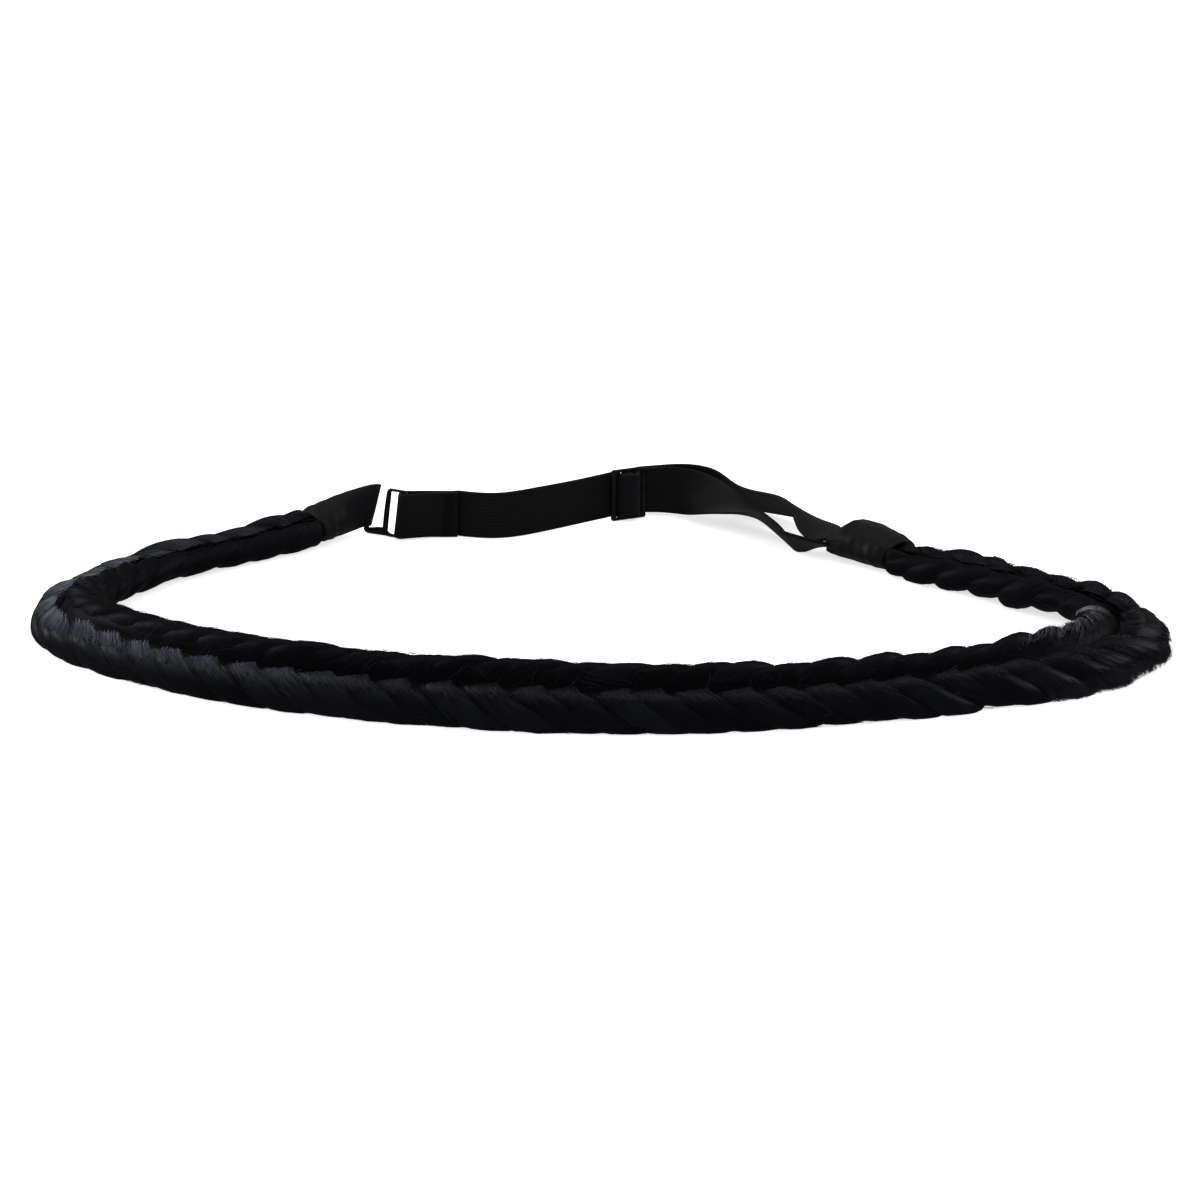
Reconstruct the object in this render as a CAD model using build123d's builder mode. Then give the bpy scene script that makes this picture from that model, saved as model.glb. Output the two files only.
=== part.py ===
"""A braided headband: a fishtail braid of hair, closed at the back by an adjustable elastic.

Millimetres, +Z up. The headband lies on z = 0 as a flat loop, with its braided front towards -Y and
its elastic towards +Y. The origin is the middle of the loop's footprint.
"""
import math
import os
from typing import NamedTuple

from build123d import *

# The loop
loop_half_width = 100.0      # the routes' shares of x
loop_half_depth = 50.0       # the routes' shares of y

# The braid
braid_width = 14.0           # across both lobes at the front
braid_thickness = 7.5
lock_pitch = 7.0             # from one lock to the next on the same lobe
lock_sweep = 8.5             # how far a lock runs along the braid on its way to the middle groove
lock_relief = 0.9            # how far a lock stands over the cleft behind it
groove_share = 0.30          # depth of the middle groove, of half the thickness
floor_flat = 0.25            # how far the soft underside flattens where it lies

# The fabric sleeves on the braid's two ends
right_sleeve_length = 16.0
left_sleeve_length = 15.0
sleeve_wall = 1.0
sleeve_gap = 0.3             # between a sleeve's lining and the hair in it
sleeve_lip = 1.9             # how far out of a sleeve the hair keeps to the sleeve's section
fold_slant = 15.0            # degrees that the left sleeve's fold leans towards the hook
fold_slant_reach = 9.0       # how far that lean dies out along the sleeve

# The elastic
strap_width = 9.8
strap_thickness = 0.9
strap_pinch = 5.8            # its gathered width in the right sleeve
strap_tail = 11.0            # the doubled stretch that is sewn behind the hook
layer_gap = 0.2              # between two layers of elastic
wrap_gap = 0.1               # between the elastic and a bar that it goes round

# The G-hook
hook_height = 10.5
hook_thickness = 1.1
hook_bar = 1.1
hook_rail = 0.55             # height of the ring's upper and lower side
hook_strap = 9.2             # the elastic's width inside its ring
hook_pitch = 4.4             # from the bar in the sleeve to the middle bar
hook_slot_pitch = 4.15       # from the middle bar to the elastic's bar
hook_lean = 8.0              # degrees that the bars lean towards the elastic
hook_turn = -28.0            # degrees of the hook's plane from +X, seen from above
hook_mouth = 1.3             # how much lower the sleeve's bar ends than the ring's top
hook_arm = 1.4               # height of the foot under the sleeve's bar
hook_heel = 2.2              # its height past the sleeve, where it meets the middle bar
hook_heel_start = 2.5        # how far from the sleeve's bar the heel rises

# The slider
slider_height = 11.0
slider_thickness = 0.9
slider_bar = 1.0
slider_pitch = 3.4           # from bar to bar
slider_slot = 9.7            # height of its two slots
slider_corner = 0.5
slider_strap = 9.3           # the elastic's width inside it
slider_turn = 25.0           # degrees of the slider from +X, seen from above
slider_x = 0.057             # its middle, share of loop_half_width
slider_y = 1.466             # its middle, share of loop_half_depth

# The bar of stitched fabric that holds the elastic in the right sleeve
tie_radius = 0.5
tie_depth = 3.2              # how far inside the sleeve's mouth it lies
pocket_gap = 0.3

foot_gap = 0.05              # the hard pieces' height over the floor
around = 16                  # sides of the braid and the sleeves
stations_per_lock = 4


class BraidRow(NamedTuple):
    """One section of the braid's route, from the right sleeve round the front to the left one."""

    x: float                 # share of loop_half_width
    y: float                 # share of loop_half_depth
    roll: float              # degrees that the outer lobe dips
    width: float             # share of braid_width
    thickness: float         # share of braid_thickness


BRAID_ROUTE = [
    BraidRow(0.485, 0.985, 0, 0.74, 0.86),
    BraidRow(0.540, 0.890, 0, 0.74, 0.85),
    BraidRow(0.600, 0.755, 2, 0.74, 0.85),
    BraidRow(0.725, 0.555, 5, 0.82, 0.87),
    BraidRow(0.848, 0.330, 8, 0.98, 0.93),
    BraidRow(0.952, 0.095, 12, 1.12, 0.99),
    BraidRow(0.995, -0.190, 15, 1.20, 0.98),
    BraidRow(0.938, -0.475, 24, 1.09, 0.97),
    BraidRow(0.770, -0.720, 35, 0.96, 0.96),
    BraidRow(0.470, -0.945, 41, 0.88, 0.93),
    BraidRow(0.140, -1.055, 46, 0.93, 0.93),
    BraidRow(-0.140, -1.030, 47, 0.97, 0.97),
    BraidRow(-0.450, -0.895, 47, 0.96, 0.97),
    BraidRow(-0.720, -0.680, 47, 0.95, 0.96),
    BraidRow(-0.905, -0.410, 42, 0.97, 0.96),
    BraidRow(-1.018, -0.080, 30, 1.06, 0.98),
    BraidRow(-0.995, 0.290, 15, 1.08, 0.92),
    BraidRow(-0.897, 0.620, 6, 0.86, 0.85),
    BraidRow(-0.735, 0.900, 3, 0.76, 0.85),
    BraidRow(-0.607, 1.112, 0, 0.77, 0.94),
    BraidRow(-0.540, 1.215, 0, 0.78, 1.00),
    BraidRow(-0.464, 1.273, 0, 0.78, 1.00),
]


class SleeveRow(NamedTuple):
    """One section of a sleeve."""

    along: float             # share of the sleeve's length, from its end towards the hair
    across: float            # half width, share of braid_width
    up: float                # half height, share of braid_width
    middle: float            # height of its middle, share of braid_width


RIGHT_SLEEVE = [
    SleeveRow(0.00, 0.335, 0.175, 0.215),
    SleeveRow(0.08, 0.385, 0.215, 0.235),
    SleeveRow(0.24, 0.440, 0.280, 0.290),
    SleeveRow(0.48, 0.445, 0.285, 0.292),
    SleeveRow(0.76, 0.415, 0.258, 0.265),
    SleeveRow(1.00, 0.390, 0.240, 0.248),
]
LEFT_SLEEVE = [
    SleeveRow(0.000, 0.012, 0.300, 0.430),
    SleeveRow(0.013, 0.060, 0.312, 0.430),
    SleeveRow(0.057, 0.110, 0.320, 0.430),
    SleeveRow(0.140, 0.125, 0.322, 0.430),
    SleeveRow(0.280, 0.160, 0.322, 0.402),
    SleeveRow(0.520, 0.250, 0.306, 0.338),
    SleeveRow(0.800, 0.345, 0.275, 0.290),
    SleeveRow(1.000, 0.390, 0.252, 0.266),
]


class StrapRow(NamedTuple):
    """One section of the elastic's route."""

    x: float                 # share of loop_half_width
    y: float                 # share of loop_half_depth
    z: float                 # height of its middle, share of strap_width
    lean: float              # degrees that its upper edge leans towards the front
    width: float             # share of strap_width


SINGLE_ROUTE = [
    StrapRow(-0.310, 1.200, 0.51, 0, 1.00),
    StrapRow(-0.215, 1.194, 0.51, 0, 1.00),
    StrapRow(-0.130, 1.274, 0.51, 0, 1.00),
    StrapRow(-0.045, 1.386, 0.52, 0, 0.98),
]
FRONT_LAYER = [
    StrapRow(0.125, 1.528, 0.56, -10, 0.98),
    StrapRow(0.182, 1.505, 0.54, -31, 1.00),
    StrapRow(0.240, 1.414, 0.48, -68, 1.00),
    StrapRow(0.287, 1.300, 0.45, -96, 1.00),
    StrapRow(0.330, 1.183, 0.44, -116, 0.99),
    StrapRow(0.361, 1.066, 0.37, -127, 0.90),
    StrapRow(0.394, 0.992, 0.30, -126, 0.76),
    StrapRow(0.438, 0.992, 0.24, -108, 0.62),
]
BACK_LAYER = [
    StrapRow(0.120, 1.580, 0.54, 0, 0.98),
    StrapRow(0.180, 1.608, 0.52, 4, 1.00),
    StrapRow(0.240, 1.612, 0.45, 22, 1.00),
    StrapRow(0.293, 1.562, 0.37, 41, 1.00),
    StrapRow(0.342, 1.474, 0.37, 49, 0.98),
    StrapRow(0.388, 1.378, 0.42, 52, 0.95),
    StrapRow(0.422, 1.264, 0.44, 64, 0.88),
    StrapRow(0.441, 1.150, 0.42, 82, 0.78),
    StrapRow(0.457, 1.075, 0.41, 88, 0.65),
]

UP = Vector(0, 0, 1)


def smooth(share):
    """A soft step from 0 to 1."""
    share = min(max(share, 0.0), 1.0)
    return share * share * (3 - 2 * share)


def column(places, values, place):
    """A table's column at a place between its rows."""
    for start in range(len(places) - 1):
        if place <= places[start + 1]:
            break
    span = places[start + 1] - places[start]
    share = min(max((place - places[start]) / span, 0.0), 1.0)
    return values[start] + (values[start + 1] - values[start]) * share


def skin(rings):
    """A closed solid over a row of rings, each joined to the next, with a fan on both ends."""
    faces = []

    def triangle(a, b, c):
        faces.append(Face(Wire.make_polygon([a, b, c], close=True)))

    for ring, following in zip(rings, rings[1:]):
        for here in range(len(ring)):
            there = (here + 1) % len(ring)
            triangle(ring[here], following[here], following[there])
            triangle(ring[here], following[there], ring[there])
    for ring in (rings[0], rings[-1]):
        middle = sum(ring, Vector(0, 0, 0)) / len(ring)
        for here in range(len(ring)):
            triangle(ring[here], ring[(here + 1) % len(ring)], middle)
    return Solid(Shell(faces))


# The braid's route lies in the floor's plane, and each section finds its own height over it
with BuildLine() as braid_route:
    braid_line = Spline(*[(row.x * loop_half_width, row.y * loop_half_depth) for row in BRAID_ROUTE])
route_length = braid_line.length
row_places = [0.0]
for row, following in zip(BRAID_ROUTE, BRAID_ROUTE[1:]):
    step = math.hypot((following.x - row.x) * loop_half_width, (following.y - row.y) * loop_half_depth)
    row_places.append(row_places[-1] + step)
row_places = [place * route_length / row_places[-1] for place in row_places]


def route_frame(along):
    """The route's point, its direction and the direction to the loop's outside."""
    inside = min(max(along, 0.0), route_length)
    point = braid_line @ (inside / route_length)
    ahead = (braid_line % (inside / route_length)).normalized()
    outward = Vector(-ahead.Y, ahead.X, 0)
    return point + ahead * (along - inside), ahead, outward


def sleeve_section(along, lip=0.0):
    """A sleeve's half width, half height and middle height at a place, if the sleeve reaches there."""
    for rows, length, place in (
        (RIGHT_SLEEVE, right_sleeve_length, along),
        (LEFT_SLEEVE, left_sleeve_length, route_length - along),
    ):
        if place <= length + lip:
            shares = [row.along for row in rows]
            return [
                column(shares, [getattr(row, name) for row in rows], place / length) * braid_width
                for name in ("across", "up", "middle")
            ]
    return None


def braid_ring(index, count):
    """One ring of the braid. It is swept back along the locks, so that its sides follow their clefts."""
    start, end = braid_start, route_length - braid_end
    spacing = (end - start) / (count - 1)
    near_end = min(index, count - 1 - index) * spacing
    sweep = lock_sweep * smooth(near_end / 24)
    ring = []
    for side in range(around):
        angle = 2 * math.pi * side / around
        edge = abs(math.cos(angle))
        along = start + index * spacing + sweep * (1 - edge)
        along = min(along, end)
        point, ahead, outward = route_frame(along)
        roll = math.radians(column(row_places, [row.roll for row in BRAID_ROUTE], along))
        half_width = column(row_places, [row.width for row in BRAID_ROUTE], along) * braid_width / 2
        half_height = column(row_places, [row.thickness for row in BRAID_ROUTE], along) * braid_thickness / 2
        middle = math.hypot(half_width * math.sin(roll), half_height * math.cos(roll)) - floor_flat
        relief = lock_relief * edge ** 0.5
        sleeve = sleeve_section(along, sleeve_lip)
        if sleeve:
            half_width = sleeve[0] - sleeve_wall - sleeve_gap
            half_height = sleeve[1] - sleeve_wall - sleeve_gap
            middle = sleeve[2]
            relief = 0
        lobe = 0 if math.cos(angle) > 0 else stations_per_lock // 2
        rise = LOCK_PROFILE[(index + lobe) % stations_per_lock] * relief
        groove = 1 - groove_share * math.exp(-((math.cos(angle) / 0.38) ** 2))
        across = (half_width + rise) * math.cos(angle)
        up = (half_height * groove + rise) * math.sin(angle)
        place = (
            point
            + outward * (across * math.cos(roll) + up * math.sin(roll))
            + UP * (middle - across * math.sin(roll) + up * math.cos(roll))
        )
        ring.append(Vector(place.X, place.Y, max(place.Z, 0)))
    return ring


LOCK_PROFILE = [-0.45, 0.25, 0.50, 0.15]     # a lock's height from its cleft on, share of lock_relief
pocket_depth = tie_depth + tie_radius + wrap_gap + strap_thickness + pocket_gap
braid_start = pocket_depth + 2 * sleeve_wall + sleeve_gap
braid_end = left_sleeve_length * 0.5
lock_count = round((route_length - braid_start - braid_end) / lock_pitch)

with BuildPart() as braid:
    ring_count = lock_count * stations_per_lock + 1
    add(skin([braid_ring(index, ring_count) for index in range(ring_count)]))
braid.part.label = "braid"


def sleeve_ring(along, inset, slant):
    """One ring of a sleeve, or of the room inside it where inset is its wall."""
    across, up, middle = sleeve_section(along)
    ring = []
    for side in range(around):
        angle = 2 * math.pi * side / around
        height = (up - inset) * math.sin(angle)
        point, ahead, outward = route_frame(along + height * slant)
        place = point + outward * (max(across - inset, 0.05) * math.cos(angle)) + UP * (middle + height)
        ring.append(Vector(place.X, place.Y, max(place.Z, foot_gap)))
    return ring


right_steps = [right_sleeve_length * share for share in (0, 0.04, 0.08, 0.16, 0.24, 0.36, 0.48, 0.62, 0.76, 0.88, 1)]
room_steps = [step for step in right_steps if step > braid_start - sleeve_gap]
mouth_point, mouth_ahead, mouth_outward = route_frame(0)
mouth_height = RIGHT_SLEEVE[0].middle * braid_width
turn_radius = tie_radius + wrap_gap + strap_thickness / 2

with BuildPart() as right_sleeve:
    room = [sleeve_ring(step, sleeve_wall, 0) for step in [braid_start - sleeve_gap] + room_steps]
    add(skin([sleeve_ring(step, 0, 0) for step in right_steps] + room[::-1]))
    mouth_plane = Plane(
        origin=mouth_point + UP * mouth_height, x_dir=mouth_outward, z_dir=mouth_ahead
    )
    with BuildSketch(mouth_plane.offset(-sleeve_wall)):
        Rectangle(strap_pinch + 2 * pocket_gap, 2 * turn_radius + strap_thickness + 2 * wrap_gap)
    extrude(amount=pocket_depth + sleeve_wall, mode=Mode.SUBTRACT)
    tie_plane = Plane(
        origin=mouth_point + mouth_ahead * tie_depth + UP * mouth_height, x_dir=mouth_ahead, z_dir=mouth_outward
    )
    with BuildSketch(tie_plane):
        Circle(tie_radius)
    extrude(amount=strap_pinch / 2 + 2 * pocket_gap, both=True)
right_sleeve.part.label = "right_sleeve"

# The hook's first bar stands in the left sleeve's fold, and its plane turns about that bar
bar_clearance = hook_bar / math.sqrt(2) + wrap_gap / 2
fold_inset = bar_clearance + sleeve_wall * 0.9
bar_point, bar_ahead, bar_outward = route_frame(route_length - fold_inset)
hook_along = Vector(math.cos(math.radians(hook_turn)), math.sin(math.radians(hook_turn)), 0)
lean_share = math.tan(math.radians(hook_lean))
pin_axis = UP + hook_along * lean_share
bar_foot = bar_point - hook_along * (lean_share * hook_height / 2)
hook_plane = Plane(origin=bar_foot + UP * foot_gap, x_dir=hook_along, z_dir=hook_along.cross(UP))

left_shares = (0, 0.013, 0.035, 0.057, 0.1, 0.14, 0.21, 0.28, 0.4, 0.52, 0.66, 0.8, 0.9, 1)
left_steps = [left_sleeve_length * share for share in left_shares]


def fold_lean(step):
    """The share by which the left sleeve's fold leans, at a distance from the fold."""
    return math.tan(math.radians(fold_slant)) * (1 - smooth(step / fold_slant_reach))


with BuildPart() as left_sleeve:
    room_steps = [step for step in left_steps if step > braid_end]
    outside = [sleeve_ring(route_length - step, 0, fold_lean(step)) for step in left_steps]
    room_start = braid_end - 2 * sleeve_gap
    room = [sleeve_ring(route_length - step, sleeve_wall, 0) for step in [room_start] + room_steps]
    add(skin(outside + room[::-1]))
    with BuildSketch(Plane(origin=bar_foot - pin_axis, z_dir=pin_axis)):
        Circle(bar_clearance)
    extrude(amount=hook_height * 1.3, mode=Mode.SUBTRACT)
left_sleeve.part.label = "left_sleeve"


def leaning(*points):
    """Points of the hook's sketch, moved towards the elastic as they rise."""
    return [(x + y * lean_share, y) for x, y in points]


with BuildPart() as hook:
    ring_left = hook_pitch - hook_bar / 2
    ring_right = hook_pitch + hook_slot_pitch + hook_bar / 2
    slot_left, slot_right = ring_left + hook_bar, ring_right - hook_bar
    gap_left = hook_bar / 2
    pin_top = hook_height - hook_mouth
    with BuildSketch(hook_plane) as hook_face:
        with BuildLine():
            Polyline(
                *leaning(
                    (-gap_left, 0), (ring_right, 0), (ring_right, hook_height), (ring_left, hook_height),
                    (ring_left, hook_heel), (hook_heel_start, hook_heel), (hook_heel_start, hook_arm),
                    (gap_left, hook_arm), (gap_left, pin_top), (-gap_left, pin_top),
                ),
                close=True,
            )
        make_face()
        fillet(hook_face.vertices(), hook_bar * 0.3)
        with BuildLine():
            Polyline(
                *leaning(
                    (slot_left, hook_rail), (slot_right, hook_rail),
                    (slot_right, hook_height - hook_rail), (slot_left, hook_height - hook_rail),
                ),
                close=True,
            )
        make_face(mode=Mode.SUBTRACT)
    extrude(amount=hook_thickness / 2, both=True)
    fillet(hook.faces().filter_by(Axis(hook_plane.origin, hook_plane.z_dir)).edges(), hook_rail * 0.4)
hook.part.label = "hook"

slider_along = Vector(math.cos(math.radians(slider_turn)), math.sin(math.radians(slider_turn)), 0)
slider_front = Vector(slider_along.Y, -slider_along.X, 0)
slider_point = Vector(slider_x * loop_half_width, slider_y * loop_half_depth, 0)
slider_middle = foot_gap + slider_height / 2
slider_plane = Plane(origin=slider_point + UP * slider_middle, x_dir=slider_along, z_dir=slider_front)

with BuildPart() as slider:
    with BuildSketch(slider_plane):
        RectangleRounded(2 * slider_pitch + slider_bar, slider_height, slider_corner)
        with GridLocations(slider_pitch, 0, 2, 1):
            Rectangle(slider_pitch - slider_bar, slider_slot, mode=Mode.SUBTRACT)
    extrude(amount=slider_thickness / 2, both=True)
    rims = slider.faces().filter_by(Axis(slider_plane.origin, slider_front)).edges()
    fillet(rims, (slider_height - slider_slot) * 0.2)
slider.part.label = "slider"


class StrapStation(NamedTuple):
    """One section of the elastic."""

    point: Vector            # its middle
    ruling: Vector           # from its middle to its upper edge, for half of the width
    width: float


def upright(point, width, lean=Vector(0, 0, 0)):
    """A section that stands on its edge, and whose top leans by a share of its height."""
    return StrapStation(point, (UP + lean).normalized(), width)


def arc(centre, radius, first, last, forward, leftward, count):
    """Points of an arc between two angles, from the forward direction towards the leftward one."""
    points = []
    for index in range(count + 1):
        angle = math.radians(first + (last - first) * index / count)
        points.append(centre + (forward * math.cos(angle) + leftward * math.sin(angle)) * radius)
    return points


def twisting(rows, start, end, count):
    """Sections of the elastic through a table, from one section to another, turning about its length."""
    knots = [start.point]
    knots += [Vector(row.x * loop_half_width, row.y * loop_half_depth, row.z * strap_width) for row in rows]
    knots += [end.point]
    leans = [0] + [row.lean for row in rows] + [end_lean(rows)]
    widths = [start.width] + [row.width * strap_width for row in rows] + [end.width]
    line = Spline(*knots, mode=Mode.PRIVATE)
    places = [0.0]
    for knot, following in zip(knots, knots[1:]):
        places.append(places[-1] + (following - knot).length)
    stations = []
    for index in range(1, count):
        share = index / count
        point = line @ share
        ahead = (line % share).normalized()
        front = ahead.cross(UP).normalized()
        above = front.cross(ahead)
        lean = math.radians(column(places, leans, share * places[-1]))
        ruling = above * math.cos(lean) + front * math.sin(lean)
        stations.append(StrapStation(point, ruling, column(places, widths, share * places[-1])))
    return stations


def end_lean(rows):
    """The lean at a stretch's end: upright after an upright row, or else flat on its side."""
    last = rows[-1].lean
    return 0 if last == 0 else math.copysign(90, last)


# The elastic's route, from its sewn tail round the hook and through the slider to its other end
half_layer = strap_thickness / 2
hook_middle = foot_gap + hook_height / 2
strap_drop = hook_middle - SINGLE_ROUTE[0].z * strap_width
hook_pin = bar_foot + hook_along * (hook_pitch + hook_slot_pitch) + pin_axis * hook_middle
tail_row = SINGLE_ROUTE[0]
hook_run = Vector(tail_row.x * loop_half_width - hook_pin.X, tail_row.y * loop_half_depth - hook_pin.Y, 0)
hook_run = hook_run.normalized()
hook_front = hook_run.cross(UP)
pin_radius = hook_bar * 0.62 + wrap_gap + half_layer

bar_radius = slider_bar * 0.57 + wrap_gap + half_layer
over_radius = bar_radius + strap_thickness + wrap_gap
slant = math.degrees(math.asin((bar_radius + over_radius) / slider_pitch))
slider_heart = slider_point + UP * slider_middle
slider_left = slider_heart - slider_along * slider_pitch
slider_right = slider_heart + slider_along * slider_pitch

stations = []
straight_steps = 5
for index in range(straight_steps):
    share = 1 - index / straight_steps
    spread = pin_radius + (strap_thickness + layer_gap - 2 * pin_radius) * smooth(1.6 * share)
    place = hook_pin + hook_run * (strap_tail * share) + hook_front * spread - UP * (strap_drop * smooth(share))
    width = column([0, 0.2, 0.5, 1], [hook_strap, hook_strap, strap_width, strap_width], share)
    stations.append(upright(place, width, hook_along * lean_share))
for place in arc(hook_pin, pin_radius, 90, 270, hook_run, hook_front, 8):
    stations.append(upright(place, hook_strap, hook_along * lean_share))
for index in range(straight_steps):
    share = (index + 1) / straight_steps
    place = hook_pin + hook_run * (strap_tail * share) - hook_front * pin_radius - UP * (strap_drop * smooth(share))
    width = column([0, 0.2, 0.5, 1], [hook_strap, hook_strap, strap_width, strap_width], share)
    stations.append(upright(place, width, hook_along * lean_share))

single_count = 20
arrive = upright(slider_left - slider_front * bar_radius, slider_strap)
single = twisting(SINGLE_ROUTE[1:], stations[-1], arrive, single_count)
for index, station in enumerate(single):
    fade = 1 - smooth(2.5 * (index + 1) / single_count)
    stations.append(upright(station.point, station.width, hook_along * (lean_share * fade)))

for place in arc(slider_left, bar_radius, -90, slant - 90, slider_along, slider_front, 4):
    stations.append(upright(place, slider_strap))
for place in arc(slider_heart, over_radius, 90 + slant, 90 - slant, slider_along, slider_front, 8):
    stations.append(upright(place, slider_strap))
for place in arc(slider_right, bar_radius, -90 - slant, -90, slider_along, slider_front, 4):
    stations.append(upright(place, slider_strap))

tie_point = mouth_point + mouth_ahead * tie_depth + UP * mouth_height
turn_ruling = mouth_outward
low = StrapStation(mouth_point + UP * (mouth_height - turn_radius), turn_ruling, strap_pinch)
high = StrapStation(mouth_point + UP * (mouth_height + turn_radius), turn_ruling, strap_pinch)
stations += twisting(FRONT_LAYER, stations[-1], low, 36)
stations.append(low)
for place in arc(tie_point, turn_radius, -90, 90, mouth_ahead, UP, 8):
    stations.append(StrapStation(place, turn_ruling, strap_pinch))
stations.append(StrapStation(high.point, turn_ruling, strap_pinch))

behind = bar_radius + strap_thickness + layer_gap + wrap_gap
back_start = upright(slider_right - slider_front * behind, slider_strap)
back = [back_start] + twisting(BACK_LAYER, back_start, high, 36)
for station in back[::-1]:
    stations.append(StrapStation(station.point, station.ruling * -1, station.width))
for place in arc(slider_heart, bar_radius, -75, -270, slider_along, slider_front, 9):
    stations.append(StrapStation(place, UP * -1, slider_strap))
last_place = slider_heart + slider_front * bar_radius + slider_along * (slider_bar / 2)
stations.append(StrapStation(last_place, UP * -1, slider_strap))


def ribbon(sections):
    """The elastic as a solid: a flat four-cornered section at each station."""
    rings = []
    for index, section in enumerate(sections):
        before = sections[max(index - 1, 0)].point
        after = sections[min(index + 1, len(sections) - 1)].point
        face = (after - before).cross(section.ruling).normalized() * half_layer
        half = section.ruling * (section.width / 2)
        corners = [half + face, half - face, half * -1 - face, half * -1 + face]
        places = [section.point + corner for corner in corners]
        rings.append([Vector(place.X, place.Y, max(place.Z, foot_gap)) for place in places])
    return skin(rings)


with BuildPart() as strap:
    add(ribbon(stations))
strap.part.label = "strap"

# The whole is seated on the floor, with the middle of its footprint at the origin
pieces = [braid, right_sleeve, left_sleeve, hook, slider, strap]
boxes = [piece.part.bounding_box() for piece in pieces]
middle_x = (min(box.min.X for box in boxes) + max(box.max.X for box in boxes)) / 2
middle_y = (min(box.min.Y for box in boxes) + max(box.max.Y for box in boxes)) / 2
seat = Location((-middle_x, -middle_y, -min(box.min.Z for box in boxes)))
os.makedirs("parts", exist_ok=True)
for piece in pieces:
    piece.part = piece.part.moved(seat)
    export_step(piece.part, f"parts/{piece.part.label}.step")
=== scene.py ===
import logging
import math
from dataclasses import dataclass, field
from enum import Enum

import bpy
import numpy as np
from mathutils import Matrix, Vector


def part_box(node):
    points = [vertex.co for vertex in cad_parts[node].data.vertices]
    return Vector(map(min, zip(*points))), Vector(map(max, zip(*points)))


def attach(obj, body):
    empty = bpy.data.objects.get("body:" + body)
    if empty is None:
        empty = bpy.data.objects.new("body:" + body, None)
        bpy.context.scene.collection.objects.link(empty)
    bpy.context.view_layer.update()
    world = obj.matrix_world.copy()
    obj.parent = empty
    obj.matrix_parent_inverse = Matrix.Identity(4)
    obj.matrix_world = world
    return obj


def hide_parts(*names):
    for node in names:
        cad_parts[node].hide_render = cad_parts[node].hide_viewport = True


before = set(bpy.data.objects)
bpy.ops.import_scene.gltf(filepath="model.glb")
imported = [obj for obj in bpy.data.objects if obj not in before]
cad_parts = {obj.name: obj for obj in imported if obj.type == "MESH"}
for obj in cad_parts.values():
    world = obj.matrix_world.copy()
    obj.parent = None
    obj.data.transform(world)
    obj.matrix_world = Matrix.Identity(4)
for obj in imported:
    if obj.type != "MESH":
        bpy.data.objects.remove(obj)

log = logging.getLogger("headband")
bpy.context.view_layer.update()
MM = 0.001
LEAST_HEIGHT = 0.04  # of the hair, the cloth and the hook over the floor, in millimetres
UP = np.array([0.0, 0.0, 1.0])

Array = np.ndarray
Colour = tuple[float, float, float]
Span = tuple[float, float]
Row3 = tuple[float, float, float]
Row4 = tuple[float, float, float, float]
Row5 = tuple[float, float, float, float, float]
Material = bpy.types.Material
Piece = bpy.types.Object
Socket = bpy.types.NodeSocket


class Lobe(Enum):
    """The braid's two lobes, each with how far its locks lie ahead, as a share of a lock."""

    OUTER = 0.0
    INNER = 0.5


# ---------- curves and meshes


def smooth(share: Array) -> Array:
    """A soft step from 0 to 1: 3 times the square of the share less 2 times its cube."""
    share = np.clip(share, 0.0, 1.0)
    return share * share * (3 - 2 * share)


def natural_cubic(places: Array, values: Array, at: Array) -> Array:
    """The natural cubic spline: one cubic between each two knots, with equal slope and bend at each.

    Args:
        places: where the knots are, rising.
        values: one row for each knot.
        at: where the spline is read.

    Returns:
        One row for each place in at.
    """
    count = len(places)
    gaps = np.diff(places)
    matrix = np.zeros((count, count))
    matrix[0, 0] = matrix[-1, -1] = 1
    inner = np.arange(1, count - 1)
    matrix[inner, inner - 1] = gaps[:-1]
    matrix[inner, inner] = 2 * (gaps[:-1] + gaps[1:])
    matrix[inner, inner + 1] = gaps[1:]
    right = np.zeros_like(values)
    right[1:-1] = 6 * np.diff(np.diff(values, axis=0) / gaps[:, None], axis=0)
    bends = np.linalg.solve(matrix, right)
    start = np.clip(np.searchsorted(places, at) - 1, 0, count - 2)
    gap, run = gaps[start][:, None], (at - places[start])[:, None]
    rest = gap - run
    return (
        (bends[start] * rest**3 + bends[start + 1] * run**3) / (6 * gap)
        + (values[start] / gap - bends[start] * gap / 6) * rest
        + (values[start + 1] / gap - bends[start + 1] * gap / 6) * run
    )


def chords(points: Array) -> Array:
    """The running sum of the distances between points, from 0."""
    return np.concatenate([[0.0], np.cumsum(np.linalg.norm(np.diff(points, axis=0), axis=1))])


def unit(vectors: Array) -> Array:
    """The vectors at length 1."""
    return vectors / np.maximum(np.linalg.norm(vectors, axis=-1, keepdims=True), 1e-12)


def read_rows(at: Array, places: Array, rows: Array) -> Array:
    """A table's rows, read in straight steps between their places, along a new last axis."""
    return np.stack([np.interp(at, places, column) for column in rows.T], axis=-1)


def full_turn(around: int) -> Array:
    """Evenly spaced angles of one whole turn."""
    return np.linspace(0, 2 * np.pi, around, endpoint=False)


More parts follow.
